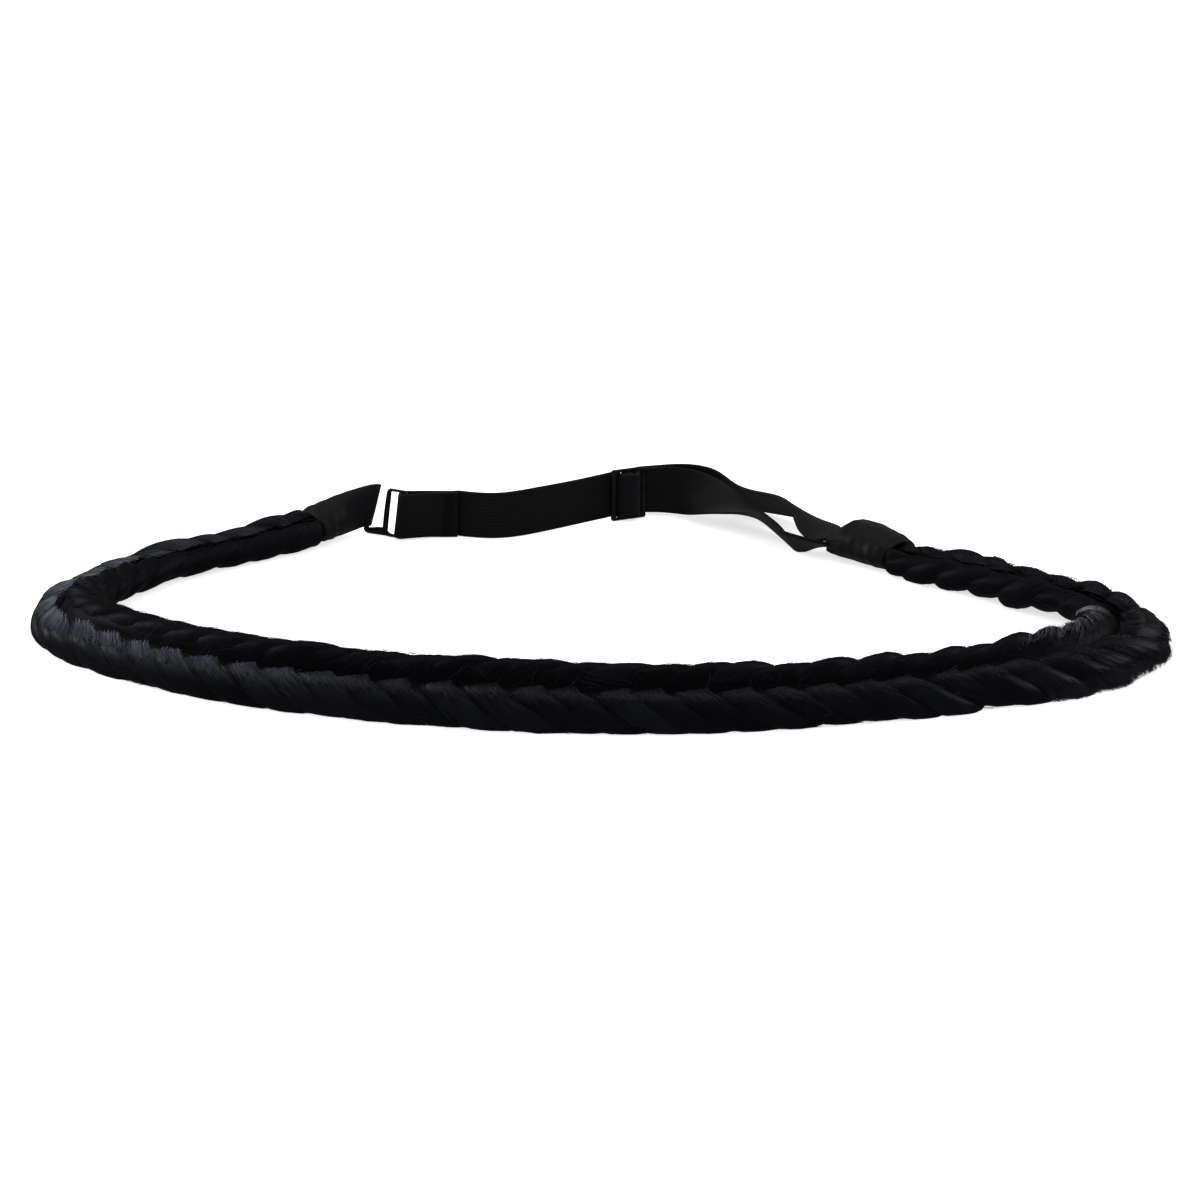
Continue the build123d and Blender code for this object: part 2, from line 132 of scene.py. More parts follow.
def grid_quads(sheets: int, rows: int, columns: int, closed: bool) -> Array:
    """The four-cornered faces of several grids of points that lie one after another.

    Args:
        sheets: how many grids.
        rows: points along each grid.
        columns: points across it.
        closed: whether the last column joins the first.

    Returns:
        One row of four point numbers for each face.
    """
    here = np.arange(rows - 1)[:, None] * columns
    column = np.arange(columns if closed else columns - 1)[None, :]
    beside = (column + 1) % columns
    corners = [here + column, here + beside, here + columns + beside, here + columns + column]
    quads = np.stack(corners, axis=-1).reshape(-1, 4)
    return (quads[None] + (np.arange(sheets) * rows * columns)[:, None, None]).reshape(-1, 4)


def stack_faces(rings: int, around: int, flipped: bool = False) -> list[Array]:
    """The faces of a stack of rings, with a cap at both ends.

    Args:
        rings: how many rings.
        around: points in each ring.
        flipped: whether the rings turn the other way about the stack's direction.

    Returns:
        The sides and the caps.
    """
    ring = np.arange(around)
    caps = np.array([ring[::-1], (rings - 1) * around + ring])
    blocks = (grid_quads(1, rings, around, True), caps)
    return [block[:, ::-1] if flipped else block for block in blocks]


def tubes(lines: Array, radius: Array, sides: int) -> tuple[Array, list[Array]]:
    """Thin closed tubes round many lines at once: at each point a ring that stands square to the line.

    Args:
        lines: lines by points by 3.
        radius: lines by points.
        sides: corners of each ring.

    Returns:
        The points and the faces, with a cap at both ends of each tube.
    """
    count, steps, _ = lines.shape
    ahead = unit(np.gradient(lines, axis=1))
    across = unit(np.cross(ahead, np.array([0.31, 0.27, 0.91])))
    over = np.cross(ahead, across)
    angle = np.arange(sides) * 2 * np.pi / sides
    ring = across[:, :, None] * np.cos(angle)[:, None] + over[:, :, None] * np.sin(angle)[:, None]
    points = lines[:, :, None] + ring * radius[:, :, None, None]
    first = np.arange(count)[:, None] * steps * sides
    corner = np.arange(sides)[None]
    caps = [first + corner[:, ::-1], first + (steps - 1) * sides + corner]
    return points.reshape(-1, 3), [grid_quads(count, steps, sides, True), *caps]


def build_piece(
    name: str,
    points: Array,
    faces: list[Array],
    finish: Material,
    uv: Array | None = None,
    tone: Array | None = None,
) -> Piece:
    """A smooth mesh object from whole arrays, which rides on the frame's root.

    Args:
        name: the piece's name.
        points: one row each, in millimetres, in the frame's axes.
        faces: arrays of point numbers, each with its own count of corners.
        finish: the material.
        uv: one pair for each point.
        tone: one number for each point, kept as the attribute tone.

    Returns:
        The object, at the origin.
    """
    points = points.reshape(-1, 3)
    mesh = bpy.data.meshes.new(name)
    corners = [corner for block in faces for corner in block.tolist()]
    mesh.from_pydata((points * MM).tolist(), [], corners)
    if uv is not None:
        order = np.empty(len(mesh.loops), dtype=np.int32)
        mesh.loops.foreach_get("vertex_index", order)
        layer = mesh.uv_layers.new(name="UVMap")
        layer.data.foreach_set("uv", uv.reshape(-1, 2)[order].ravel().astype(np.float32))
    if tone is not None:
        attribute = mesh.attributes.new("tone", "FLOAT", "POINT")
        attribute.data.foreach_set("value", tone.ravel().astype(np.float32))
    mesh.polygons.foreach_set("use_smooth", np.ones(len(mesh.polygons), dtype=bool))
    mesh.materials.append(finish)
    mesh.update()
    piece = bpy.data.objects.new(name, mesh)
    bpy.context.scene.collection.objects.link(piece)
    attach(piece, "root")
    log.info("%s: %d points, %d faces", name, len(points), len(corners))
    return piece


# ---------- shader groups and finishes


class Shade:
    """A small hand for wiring the shader nodes of one tree."""

    def __init__(self, tree: bpy.types.NodeTree) -> None:
        """Keeps the tree that the nodes go into."""
        self.tree = tree

    def fill(self, node: bpy.types.Node, inputs: dict) -> None:
        """Links or sets a node's inputs.

        Args:
            node: the node.
            inputs: a socket or a plain value for each input that is set, by its name or number.
        """
        for label, value in inputs.items():
            if isinstance(value, bpy.types.NodeSocket):
                self.tree.links.new(value, node.inputs[label])
            else:
                node.inputs[label].default_value = value

    def add(self, kind: str, inputs: dict | None = None, **values: object) -> bpy.types.Node:
        """A node with its properties and inputs set.

        Args:
            kind: the node's type.
            inputs: as for fill.
            values: its properties.

        Returns:
            The node.
        """
        node = self.tree.nodes.new(kind)
        for key, value in values.items():
            setattr(node, key, value)
        self.fill(node, inputs or {})
        return node

    def maths(self, how: str, *terms: object) -> Socket:
        """The result of a Math node on sockets or numbers."""
        return self.add("ShaderNodeMath", dict(enumerate(terms)), operation=how).outputs[0]

    def wave(self, place: Socket) -> Socket:
        """The height of one of a row of round ribs, 1 unit wide: a sine without its sign."""
        return self.maths("ABSOLUTE", self.maths("SINE", self.maths("MULTIPLY", place, math.pi)))

    def ranged(self, value: Socket, source: Span = (0, 1), target: Span = (0, 1)) -> Socket:
        """A value moved from one span to another."""
        ends = dict(zip(("From Min", "From Max", "To Min", "To Max"), (*source, *target)))
        return self.add("ShaderNodeMapRange", {"Value": value, **ends}).outputs["Result"]

    def map_places(self) -> bpy.types.bpy_prop_collection:
        """The sockets of a piece's own U and V."""
        uv = self.add("ShaderNodeUVMap", uv_map="UVMap")
        return self.add("ShaderNodeSeparateXYZ", {0: uv.outputs["UV"]}).outputs


def shader_group(name: str, inputs: dict[str, float], outputs: tuple[str, ...]) -> Shade:
    """An empty shader node group whose sockets are all numbers.

    Args:
        name: the group's name.
        inputs: each input's value.
        outputs: the outputs' names.

    Returns:
        A hand for wiring it.
    """
    tree = bpy.data.node_groups.new(name, "ShaderNodeTree")
    for label, value in inputs.items():
        socket = tree.interface.new_socket(name=label, in_out="INPUT", socket_type="NodeSocketFloat")
        socket.default_value = value
    for label in outputs:
        tree.interface.new_socket(name=label, in_out="OUTPUT", socket_type="NodeSocketFloat")
    return Shade(tree)


def strand_group() -> bpy.types.NodeTree:
    """Fine strands along a piece's own U: noise that is stretched along it.

    Returns:
        The group, with a height and a mask of lighter strands.
    """
    wire = shader_group("strands", {"Across": 60.0, "Along": 3.0}, ("Height", "Mask"))
    source, place = wire.add("NodeGroupInput").outputs, wire.map_places()
    along = wire.maths("MULTIPLY", place[0], source["Along"])
    across = wire.maths("MULTIPLY", place[1], source["Across"])
    stretched = wire.add("ShaderNodeCombineXYZ", {0: along, 1: across}).outputs[0]
    noise = {"Vector": stretched, "Scale": 1.0, "Detail": 3.0, "Roughness": 0.65}
    height = wire.add("ShaderNodeTexNoise", noise, noise_dimensions="3D").outputs["Fac"]
    wire.add("NodeGroupOutput", {"Height": height, "Mask": wire.ranged(height, (0.52, 0.72))})
    return wire.tree


def weave_group() -> bpy.types.NodeTree:
    """A narrow weave on a piece's own map, in metres: ribs along the length, crossed by finer rows.

    Returns:
        The group, with a height and a mask of the rib's crowns.
    """
    wire = shader_group("narrow weave", {"Ribs": 1400.0, "Rows": 2600.0}, ("Height", "Crown"))
    source, place = wire.add("NodeGroupInput").outputs, wire.map_places()
    rib_place = wire.maths("MULTIPLY", place[1], source["Ribs"])
    rib = wire.wave(rib_place)
    half = wire.maths("MULTIPLY", wire.maths("FLOOR", rib_place), 0.5)
    row = wire.wave(wire.maths("ADD", wire.maths("MULTIPLY", place[0], source["Rows"]), half))
    crossed = wire.maths("MULTIPLY", wire.maths("MULTIPLY", rib, row), 0.35)
    height = wire.maths("ADD", wire.maths("MULTIPLY", rib, 0.65), crossed)
    wire.add("NodeGroupOutput", {"Height": height, "Crown": rib})
    return wire.tree


def drift_group() -> bpy.types.NodeTree:
    """A slow drift of tone over a piece, from noise in Object coordinates.

    Returns:
        The group, with a value from 0 to 1.
    """
    wire = shader_group("slow drift", {"Scale": 90.0}, ("Value",))
    scale = wire.add("NodeGroupInput").outputs["Scale"]
    place = wire.add("ShaderNodeTexCoord").outputs["Object"]
    noise = wire.add("ShaderNodeTexNoise", {"Vector": place, "Scale": scale, "Detail": 3.0})
    wire.add("NodeGroupOutput", {"Value": wire.ranged(noise.outputs["Fac"], (0.3, 0.7))})
    return wire.tree


@dataclass(frozen=True)
class Groups:
    """The shader node groups that the finishes share."""

    strands: bpy.types.NodeTree
    weave: bpy.types.NodeTree
    drift: bpy.types.NodeTree


@dataclass(frozen=True)
class Finish:
    """A finish between two colours, with an uneven gloss and a relief. Each kind says what drives them."""

    name: str
    dark: Colour
    light: Colour
    roughness: Span
    gloss: float
    bump: float
    depth: float

    def drive(self, wire: Shade, groups: Groups) -> tuple[Socket, Socket, Socket, dict]:
        """What drives the finish.

        Args:
            wire: the material's hand.
            groups: the shared node groups.

        Returns:
            The light colour's share, the second roughness's share, the height of the relief, and
            the main shader's other inputs.
        """
        raise NotImplementedError

    def build(self, groups: Groups) -> Material:
        """The material.

        Args:
            groups: the shared node groups.

        Returns:
            The material.
        """
        material = bpy.data.materials.new(self.name)
        material.use_nodes = True
        wire = Shade(material.node_tree)
        mask, rough, height, more = self.drive(wire, groups)
        colours = {6: (*self.dark, 1), 7: (*self.light, 1), 0: mask}
        relief = {"Strength": self.bump, "Distance": self.depth, "Height": height}
        inputs = {
            "Base Color": wire.add("ShaderNodeMix", colours, data_type="RGBA").outputs[2],
            "Roughness": wire.ranged(rough, target=self.roughness),
            "Specular IOR Level": self.gloss,
            "Normal": wire.add("ShaderNodeBump", relief).outputs["Normal"],
        }
        wire.fill(material.node_tree.nodes["Principled BSDF"], inputs | more)
        return material


@dataclass(frozen=True)
class HairFinish(Finish):
    """Black synthetic hair: near-black strands with a cool sheen, lighter where the tone is high; the tone is
    partly random and partly a painted highlight.
    """

    dark: Colour = (0.0016, 0.0016, 0.0019)
    # The light colour is the blue-grey of the painted highlights, and also of the strands' own random lighter
    # tone.
    light: Colour = (0.075, 0.084, 0.108)
    roughness: Span = (0.32, 0.52)
    gloss: float = 0.12
    bump: float = 0.45
    depth: float = 0.00012
    across: float = 52.0
    along: float = 1.8
    even: float = 0.35
    tint: Colour = (0.78, 0.87, 1.0)

    def drive(self, wire: Shade, groups: Groups) -> tuple[Socket, Socket, Socket, dict]:
        """The light colour's share is the tone, more on the lighter strands.

        Args:
            wire: the material's hand.
            groups: the shared node groups.

        Returns:
            What drives the finish.
        """
        counts = {"Across": self.across, "Along": self.along}
        strands = wire.add("ShaderNodeGroup", counts, node_tree=groups.strands).outputs
        tone = wire.add("ShaderNodeAttribute", attribute_name="tone").outputs["Fac"]
        share = wire.maths("MULTIPLY_ADD", strands["Mask"], 1.0 - self.even, self.even)
        lit = wire.maths("MULTIPLY", share, tone)
        mask = wire.maths("MULTIPLY_ADD", strands["Mask"], 0.03, lit)
        return mask, strands["Height"], strands["Height"], {"Specular Tint": (*self.tint, 1.0)}


@dataclass(frozen=True)
class ClothFinish(Finish):
    """Black woven cloth: the elastic or the sleeves' covering, with its own ribs and rows a metre."""

    dark: Colour = (0.0022, 0.0024, 0.0032)
    light: Colour = (0.0060, 0.0065, 0.0085)
    roughness: Span = (0.42, 0.58)
    gloss: float = 0.14
    bump: float = 0.5
    depth: float = 0.00008
    ribs: float = 1400.0
    rows: float = 2600.0
    sheen: float = 0.04
    sheen_roughness: float = 0.4

    def drive(self, wire: Shade, groups: Groups) -> tuple[Socket, Socket, Socket, dict]:
        """The ribs' crowns are lighter, by a slow drift that also changes the gloss.

        Args:
            wire: the material's hand.
            groups: the shared node groups.

        Returns:
            What drives the finish.
        """
        counts = {"Ribs": self.ribs, "Rows": self.rows}
        weave = wire.add("ShaderNodeGroup", counts, node_tree=groups.weave).outputs
        drift = wire.add("ShaderNodeGroup", node_tree=groups.drift).outputs["Value"]
        mask = wire.maths("MULTIPLY", weave["Crown"], wire.maths("MULTIPLY_ADD", drift, 0.5, 0.5))
        sheen = {"Sheen Weight": self.sheen, "Sheen Roughness": self.sheen_roughness}
        return mask, drift, weave["Height"], sheen


@dataclass(frozen=True)
class LacquerFinish(Finish):
    """Black lacquer on the hook and the slider, slightly uneven."""

    dark: Colour = (0.002, 0.0025, 0.0035)
    light: Colour = (0.005, 0.006, 0.008)
    roughness: Span = (0.30, 0.45)
    gloss: float = 0.35
    bump: float = 0.15
    depth: float = 0.0001
    grain: float = 700.0

    def drive(self, wire: Shade, groups: Groups) -> tuple[Socket, Socket, Socket, dict]:
        """One fine drift drives the colour, the gloss and the relief."""
        value = wire.add("ShaderNodeGroup", {"Scale": self.grain}, node_tree=groups.drift).outputs["Value"]
        return value, value, value, {}


# ---------- the braid's route


@dataclass
class BraidRoute:
    """The line of the braid on the floor, from the right sleeve round the front to the left one.

    Each row is a section: x and y as shares of the half width and depth, the degrees that its outer
    lobe dips, and shares of the width and the thickness. The seat is the frame's shift of it all.
    """

    half_width: float = 100.0
    half_depth: float = 50.0
    width: float = 14.0
    thickness: float = 7.5
    floor_flat: float = 0.25
    samples: int = 1600
    seat: Array = field(default_factory=lambda: np.zeros(3))
    rows: tuple[Row5, ...] = (
        (0.485, 0.985, 0, 0.74, 0.86),
        (0.540, 0.890, 0, 0.74, 0.85),
        (0.600, 0.755, 2, 0.74, 0.85),
        (0.725, 0.555, 5, 0.82, 0.87),
        (0.848, 0.330, 8, 0.98, 0.93),
        (0.952, 0.095, 12, 1.12, 0.99),
        (0.995, -0.190, 15, 1.20, 0.98),
        (0.938, -0.475, 24, 1.09, 0.97),
        (0.770, -0.720, 35, 0.96, 0.96),
        (0.470, -0.945, 41, 0.88, 0.93),
        (0.140, -1.055, 46, 0.93, 0.93),
        (-0.140, -1.030, 47, 0.97, 0.97),
        (-0.450, -0.895, 47, 0.96, 0.97),
        (-0.720, -0.680, 47, 0.95, 0.96),
        (-0.905, -0.410, 40, 0.97, 0.96),
        (-1.018, -0.080, 25, 1.06, 0.98),
        (-0.995, 0.290, 15, 1.08, 0.92),
        (-0.897, 0.620, 6, 0.86, 0.85),
        (-0.735, 0.900, 3, 0.76, 0.85),
        (-0.607, 1.112, 0, 0.77, 0.94),
        (-0.540, 1.215, 0, 0.78, 1.00),
        (-0.464, 1.273, 0, 0.78, 1.00),
    )

    def __post_init__(self) -> None:
        """Samples the line once: a natural cubic through the rows, then by its own length."""
        self.table = np.array(self.rows)
        knots = self.table[:, :2] * [self.half_width, self.half_depth]
        places = chords(knots)
        dense = natural_cubic(places, knots, np.linspace(0, places[-1], 6000))
        run = chords(dense)
        self.length = run[-1]
        self.place = np.linspace(0, self.length, self.samples)
        self.point = read_rows(self.place, run, dense)
        self.ahead = unit(np.gradient(self.point, axis=0))
        self.row_places = places * self.length / places[-1]

    def plan(self, along: Array) -> tuple[Array, Array, Array]:
        """The line's point, direction and outward side; past its ends it runs on straight.

        Args:
            along: places on the line, in millimetres.

        Returns:
            Three arrays of the same shape as along, with a last axis of 3.
        """
        inside = np.clip(along, 0, self.length)
        point = read_rows(inside, self.place, self.point)
        ahead = unit(read_rows(inside, self.place, self.ahead))
        point = point + ahead * (along - inside)[..., None]
        flat = np.zeros(point.shape[:-1] + (1,))
        outward = np.stack([-ahead[..., 1], ahead[..., 0]], axis=-1)
        return tuple(np.concatenate([part, flat], axis=-1) for part in (point, ahead, outward))

    def section(self, along: Array) -> tuple[Array, Array, Array, Array]:
        """The braid's section: the half width, half height, dip in radians and middle's height.

        Args:
            along: places on the line.

        Returns:
            Four arrays of the same shape as along.
        """
        dip, width, thickness = (np.interp(along, self.row_places, column) for column in self.table[:, 2:].T)
        roll = np.radians(dip)
        half_width, half_height = width * self.width / 2, thickness * self.thickness / 2
        middle = np.hypot(half_width * np.sin(roll), half_height * np.cos(roll)) - self.floor_flat
        return half_width, half_height, roll, middle

    def in_section(self, along: Array, across: Array, up: Array, roll: Array, middle: Array) -> Array:
        """Points from their place along the line and in the section there, kept on the floor.

        Args:
            along: places on the line.
            across: towards the loop's outside, before the dip.
            up: upwards, before the dip.
            roll: the dip, in radians.
            middle: the height of the section's middle.

        Returns:
            The points in the frame's axes.
        """
        point, _, outward = self.plan(along)
        side = across * np.cos(roll) + up * np.sin(roll)
        height = middle - across * np.sin(roll) + up * np.cos(roll)
        points = point + outward * side[..., None]
        points[..., 2] = np.maximum(height, LEAST_HEIGHT)
        return points + self.seat


# ---------- the sleeves


@dataclass
class Sleeve:
    """A cloth sleeve on one end of the braid: rings along the route, joined round a turned-in hem.

    Each row is a section: its place as a share of the length from the elastic's end, and its half
    width, half height and middle height as shares of the braid's width. All lengths are millimetres.
    A fold wave is a size, a count round the ring, a drift along it and a share of the seed.
    """

    name: str
    rows: tuple[Row4, ...]
    length: float
    from_end: bool
    seed: float
    folded: bool = False
    slant: float = 0.0
    slant_reach: float = 9.0
    wall: float = 0.8
    hem: float = 3.0
    hem_draw: float = 0.45
    hem_reach: float = 1.8
    slack: float = 0.05
    gather: float = 0.30
    gather_reach: float = 3.5
    crease: float = 0.10
    bunch: float = 0.15
    bunch_reach: float = 4.0
    girth: float = 34.0
    rim_bulge: float = 0.8
    least_reach: float = 0.04
    around: int = 72
    cover_rings: int = 70
    rim_rings: int = 5
    hem_rings: int = 8
    fold_waves: tuple[Row4, ...] = ((1.0, 7, 0.25, 1), (0.7, 12, -0.2, 2))

    def section(self, route: BraidRoute, step: Array) -> tuple[Array, ...]:
        """The half width, half height and middle height at a distance from the elastic's end.

        Args:
            route: the braid's route.
            step: the distances.

        Returns:
            Three arrays of the same shape as step.
        """
        places, *columns = np.array(self.rows).T
        share = np.clip(step / self.length, 0, 1)
        return tuple(np.interp(share, places, column) * route.width for column in columns)

    def drawn_in(self, step: Array) -> Array:
        """How far the hem draws the cloth in against the hair, by the distance from the elastic's end."""
        return self.hem_draw * (1 - smooth((self.length - step) / self.hem_reach))

    def puff(self, place: Array, angle: Array) -> Array:
        """How far the cloth stands out in soft folds that fade from the gathered end.

        The folds are a sum of waves round the ring whose phase drifts along the sleeve. Near the hem
        they are a sine of the distance to it, whose crests wander round the ring.

        Args:
            place: distances from the elastic's end, in a column.
            angle: the angles round the ring, in a row.

        Returns:
            Millimetres, rings by points.
        """
        to_hem, seed = self.length - place, self.seed
        ripple = np.sin(2.4 * to_hem + 1.1 * np.sin(2 * angle + seed))
        bunched = self.bunch * ripple * np.exp(-np.abs(to_hem) / self.bunch_reach)
        gathers = 0 if self.folded else 1
        gathered = self.gather * np.exp(-place / self.gather_reach) * gathers + self.slack
        folds = sum(
            size * np.sin(count * angle + drift * place + shift * seed)
            for size, count, drift, shift in self.fold_waves
        )
        creases = self.crease * np.sin(3 * angle + 0.55 * place + seed) * np.sin(0.38 * place + seed)
        return gathered * folds * 0.5 + creases + bunched - self.drawn_in(place)

    def rings(self, route: BraidRoute, step: Array, inset: Array) -> Array:
        """Rings of the sleeve: an ellipse at each step, with its folds.

        Args:
            route: the braid's route.
            step: the distance of each ring from the elastic's end.
            inset: how far each ring lies inside the outer skin.

        Returns:
            Rings by points by 3.
        """
        across, up, middle = (size[:, None] for size in self.section(route, step))
        angle, place, inset = full_turn(self.around)[None, :], step[:, None], inset[:, None]
        puff = self.puff(place, angle)
        reach = np.maximum(across - inset + puff * (across > 1.2), self.least_reach)
        height = (up - inset + puff * (1.0 if self.folded else 0.8)) * np.sin(angle)
        lean = math.tan(math.radians(self.slant)) * (1 - smooth(place / self.slant_reach))
        along = (route.length - place if self.from_end else place) + height * lean
        zero = np.zeros_like(height)
        return route.in_section(along, reach * np.cos(angle) + zero, height, zero, middle + zero)

    def build(self, route: BraidRoute, finish: Material, node: str) -> Piece:
        """The sleeve as one closed skin: out along its outside, round both rims and back inside.

        Args:
            route: the braid's route.
            finish: its cloth.
            node: the CAD node that it stands for.

        Returns:
            The piece.
        """
        outside = self.length * np.linspace(0, 1, self.cover_rings) ** (1.5 if self.folded else 1.0)
        rim = self.wall / 2
        turn = np.linspace(0, np.pi, self.rim_rings + 2)[1:-1]
        bulge, rim_inset = rim * np.sin(turn) * self.rim_bulge, rim * (1 - np.cos(turn))
        inside = self.length - np.linspace(0, self.hem, self.hem_rings)
        step = [outside, self.length + bulge, inside]
        inset = [np.zeros_like(outside), rim_inset, np.full_like(inside, self.wall)]
        if not self.folded:
            near_in = np.linspace(self.hem, 0, self.hem_rings)
            step = [near_in, -bulge, *step]
            inset = [np.full_like(near_in, self.wall), rim_inset[::-1], *inset]
        step, inset = np.concatenate(step), np.concatenate(inset)
        faces = stack_faces(len(step), self.around, self.from_end)
        girth = np.linspace(0, self.girth * MM, self.around)[None, :]
        uv = np.stack(np.broadcast_arrays(step[:, None] * MM, girth), axis=-1)
        piece = build_piece(self.name, self.rings(route, step, inset), faces, finish, uv=uv)
        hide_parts(node)
        return piece


RIGHT_SECTIONS = (
    (0.00, 0.335, 0.175, 0.215),
    (0.08, 0.385, 0.215, 0.235),
    (0.24, 0.440, 0.280, 0.290),
    (0.48, 0.445, 0.285, 0.292),
    (0.76, 0.415, 0.258, 0.265),
    (1.00, 0.390, 0.240, 0.248),
)
LEFT_SECTIONS = (
    (0.000, 0.012, 0.300, 0.430),
    (0.013, 0.060, 0.312, 0.430),
    (0.057, 0.110, 0.320, 0.430),
    (0.140, 0.125, 0.322, 0.430),
    (0.280, 0.160, 0.322, 0.402),
    (0.520, 0.250, 0.306, 0.338),
    (0.800, 0.345, 0.275, 0.290),
    (1.000, 0.390, 0.252, 0.266),
)


# ---------- the braid


@dataclass(frozen=True)
class Brush:
    """Free tips that stand out from one stretch of a lobe's locks.

    The stretch is in millimetres along the route. The angles are those of root and tip on the lobe,
    in degrees, counted from the locks' own tip line where on_tips is set.
    """

    lobe: Lobe
    stretch: Span
    count: int
    angles: Span
    rise: Span
    on_tips: bool = False
    spread: float = 5.0
    curl: float = 0.3
    radius: float = 0.06
    # how strong the strands' painted highlight is
    light: float = 1.0


@dataclass(frozen=True)
class Loose:
    """Loose strands over the whole braid: how many, their run, their lift at the tip and radius."""

    count: int
    length: Span
    rise: Span
    radius: float


@dataclass
class Braid:
    """The fishtail braid: a dark core, overlapping locks on both lobes and loose hair on top.

    Lengths are millimetres and angles degrees. A lock's place_spread and breadths are shares of the
    pitch, and crowns are shares of the crown. A dive has the angle where it starts, the angle it
    takes, and its depth. It starts that far before a lock's end on top, and on the underside that
    far from the lobe's side. The valley's rows are shares of the route and the groove's angle there.
    The waves' rows are a size and a count of waves across the lock, and the relief's have a drift
    along it. Those of the wander run along the lock.
    """

    route: BraidRoute
    sleeves: tuple[Sleeve, Sleeve]
    start: float = 9.0
    end: float = 7.0
    pitch: float = 7.6
    sweep: float = 8.5
    crown: float = 1.5
    skew: float = 0.62
    tuck: float = 1.0
    front: float = 0.42
    side_breadth: float = 0.5
    swing_parts: Span = (0.8, 0.35)
    place_spread: float = 0.11
    breadths: Span = (0.95, 1.30)
    crowns: Span = (0.65, 1.35)
    tip_dive: Row3 = (8, 12, -0.15)
    inner_dive: Row3 = (38, 28, 1.5)
    under_dive: Row3 = (66, 33, 0.75)
    under_end: float = 99
    inner_end: float = 20
    core_gap: float = 0.55
    core_groove: float = 0.8
    sleeve_gap: float = 0.2
    least_half: float = 0.5
    groove: float = 0.38
    groove_breadth: float = 0.30
    across_points: int = 64
    steps_along: int = 26
    core_rings: int = 420
    core_around: int = 32
    strand_steps: int = 7
    ridge_height: float = 0.05
    relief_waves: tuple[Row3, ...] = ((1.0, 2.7, 1.1), (0.6, 6.4, -0.7), (0.3, 15.2, 0.0))
    fray_waves: tuple[Span, ...] = ((1.6, 5.3), (1.4, 11.7))
    wander_waves: tuple[Span, ...] = ((0.35, 2.6), (0.16, 5.7))
    lock_seeds: tuple[int, int] = (31, 47)
    valley_rows: tuple[Span, ...] = (
        (0.00, 99),
        (0.50, 98),
        (0.62, 95),
        (0.71, 92),
        (0.765, 72),
        (0.80, 74),
        (0.85, 98),
        (1.00, 100),
    )

    def share_of(self, along: Array) -> Array:
        """Places on the route as shares of its length."""
        return along / self.route.length

    def limits(self, along: Array) -> tuple[Array, ...]:
        """The section, drawn in to fit inside the sleeves near both ends.

        Args:
            along: places on the route.

        Returns:
            The half width, half height, dip, middle height, and how free the hair is, from 0 in a
            sleeve to 1 outside it.
        """
        half_width, half_height, roll, middle = self.route.section(along)
        free = np.ones_like(along)
        for sleeve in self.sleeves:
            step = self.route.length - along if sleeve.from_end else along
            across, up, height = sleeve.section(self.route, step)
            hold = 1 - smooth((step - sleeve.length + 0.3) / 1.6)
            inner = sleeve.wall + self.sleeve_gap + sleeve.drawn_in(step)
            half_width = half_width + (np.maximum(across - inner, self.least_half) - half_width) * hold
            half_height = half_height + (np.maximum(up - inner, self.least_half) - half_height) * hold
            middle = middle + (height - middle) * hold
            roll = roll * (1 - hold)
            free = np.minimum(free, 1 - hold)
        return half_width, half_height, roll, middle, free

    def valley(self, along: Array) -> Array:
        """The groove's degrees from the outer lobe's side; it nears the outer edge round the left bend."""
        places, degrees = np.array(self.valley_rows).T
        return np.interp(self.share_of(along), places, degrees)

    def in_groove(self, along: Array, angle: Array) -> Array:
        """How deep in the groove an angle is, from 0 to 1: a bell over the cosine, on the upper side."""
        bottom = np.cos(np.radians(self.valley(along)))
        return np.exp(-(((np.cos(angle) - bottom) / self.groove_breadth) ** 2)) * (np.sin(angle) > 0)

    def skin(self, along: Array, angle: Array, lift: Array) -> Array:
        """Points on the braid: an ellipse with a groove on top, raised by a lift along its normal.

        Args:
            along: places on the route.
            angle: the angle round the section, 0 at the outer lobe.
            lift: height over the plain section.

        Returns:
            The points.
        """
        half_width, half_height, roll, middle, free = self.limits(along)
        dip = 1 - self.groove * self.in_groove(along, angle)
        across = (half_width + lift * free) * np.cos(angle)
        up = (half_height * dip + lift * free) * np.sin(angle)
        return self.route.in_section(along, across, up, roll, middle)

    def lock_table(self, lobe: Lobe) -> tuple[Array, Array, Array]:
        """Each lock's place, breadth and crown on a lobe, a little different from lock to lock.

        Args:
            lobe: which lobe.

        Returns:
            Three arrays, one value for each lock.
        """
        random = np.random.default_rng(self.lock_seeds[lobe is Lobe.INNER])
        span = self.route.length - self.end - self.start
        count = int(round(span / self.pitch))
        pitch = span / count
        base = self.start + pitch * (np.arange(count) + lobe.value)
        base = base + random.normal(0, self.place_spread * pitch, count)
        broad = pitch * random.uniform(*self.breadths, count)
        return base, broad, self.crown * random.uniform(*self.crowns, count)

    def swing(self, angle: Array) -> Array:
        """How far a lock has gone forward at an angle: evenly with it, and more at the groove."""
        even, late = self.swing_parts
        return self.sweep * (angle / (np.pi / 2) * even + late * (1 - np.abs(np.cos(angle))))

    def on_lock(self, base: Array, broad: Array, share: Array, angle: Array) -> Array:
        """The place on the route of a point on a lock, which is broader over the lobe's side.

        Args:
            base: the lock's place.
            broad: the lock's breadth.
            share: across the lock, from its back edge.
            angle: on the lobe, 0 at its side.

        Returns:
            Millimetres along the route.
        """
        breadth = broad * (1.0 + self.side_breadth * np.abs(np.cos(angle)))
        return base + self.swing(angle) + (share - self.front) * breadth

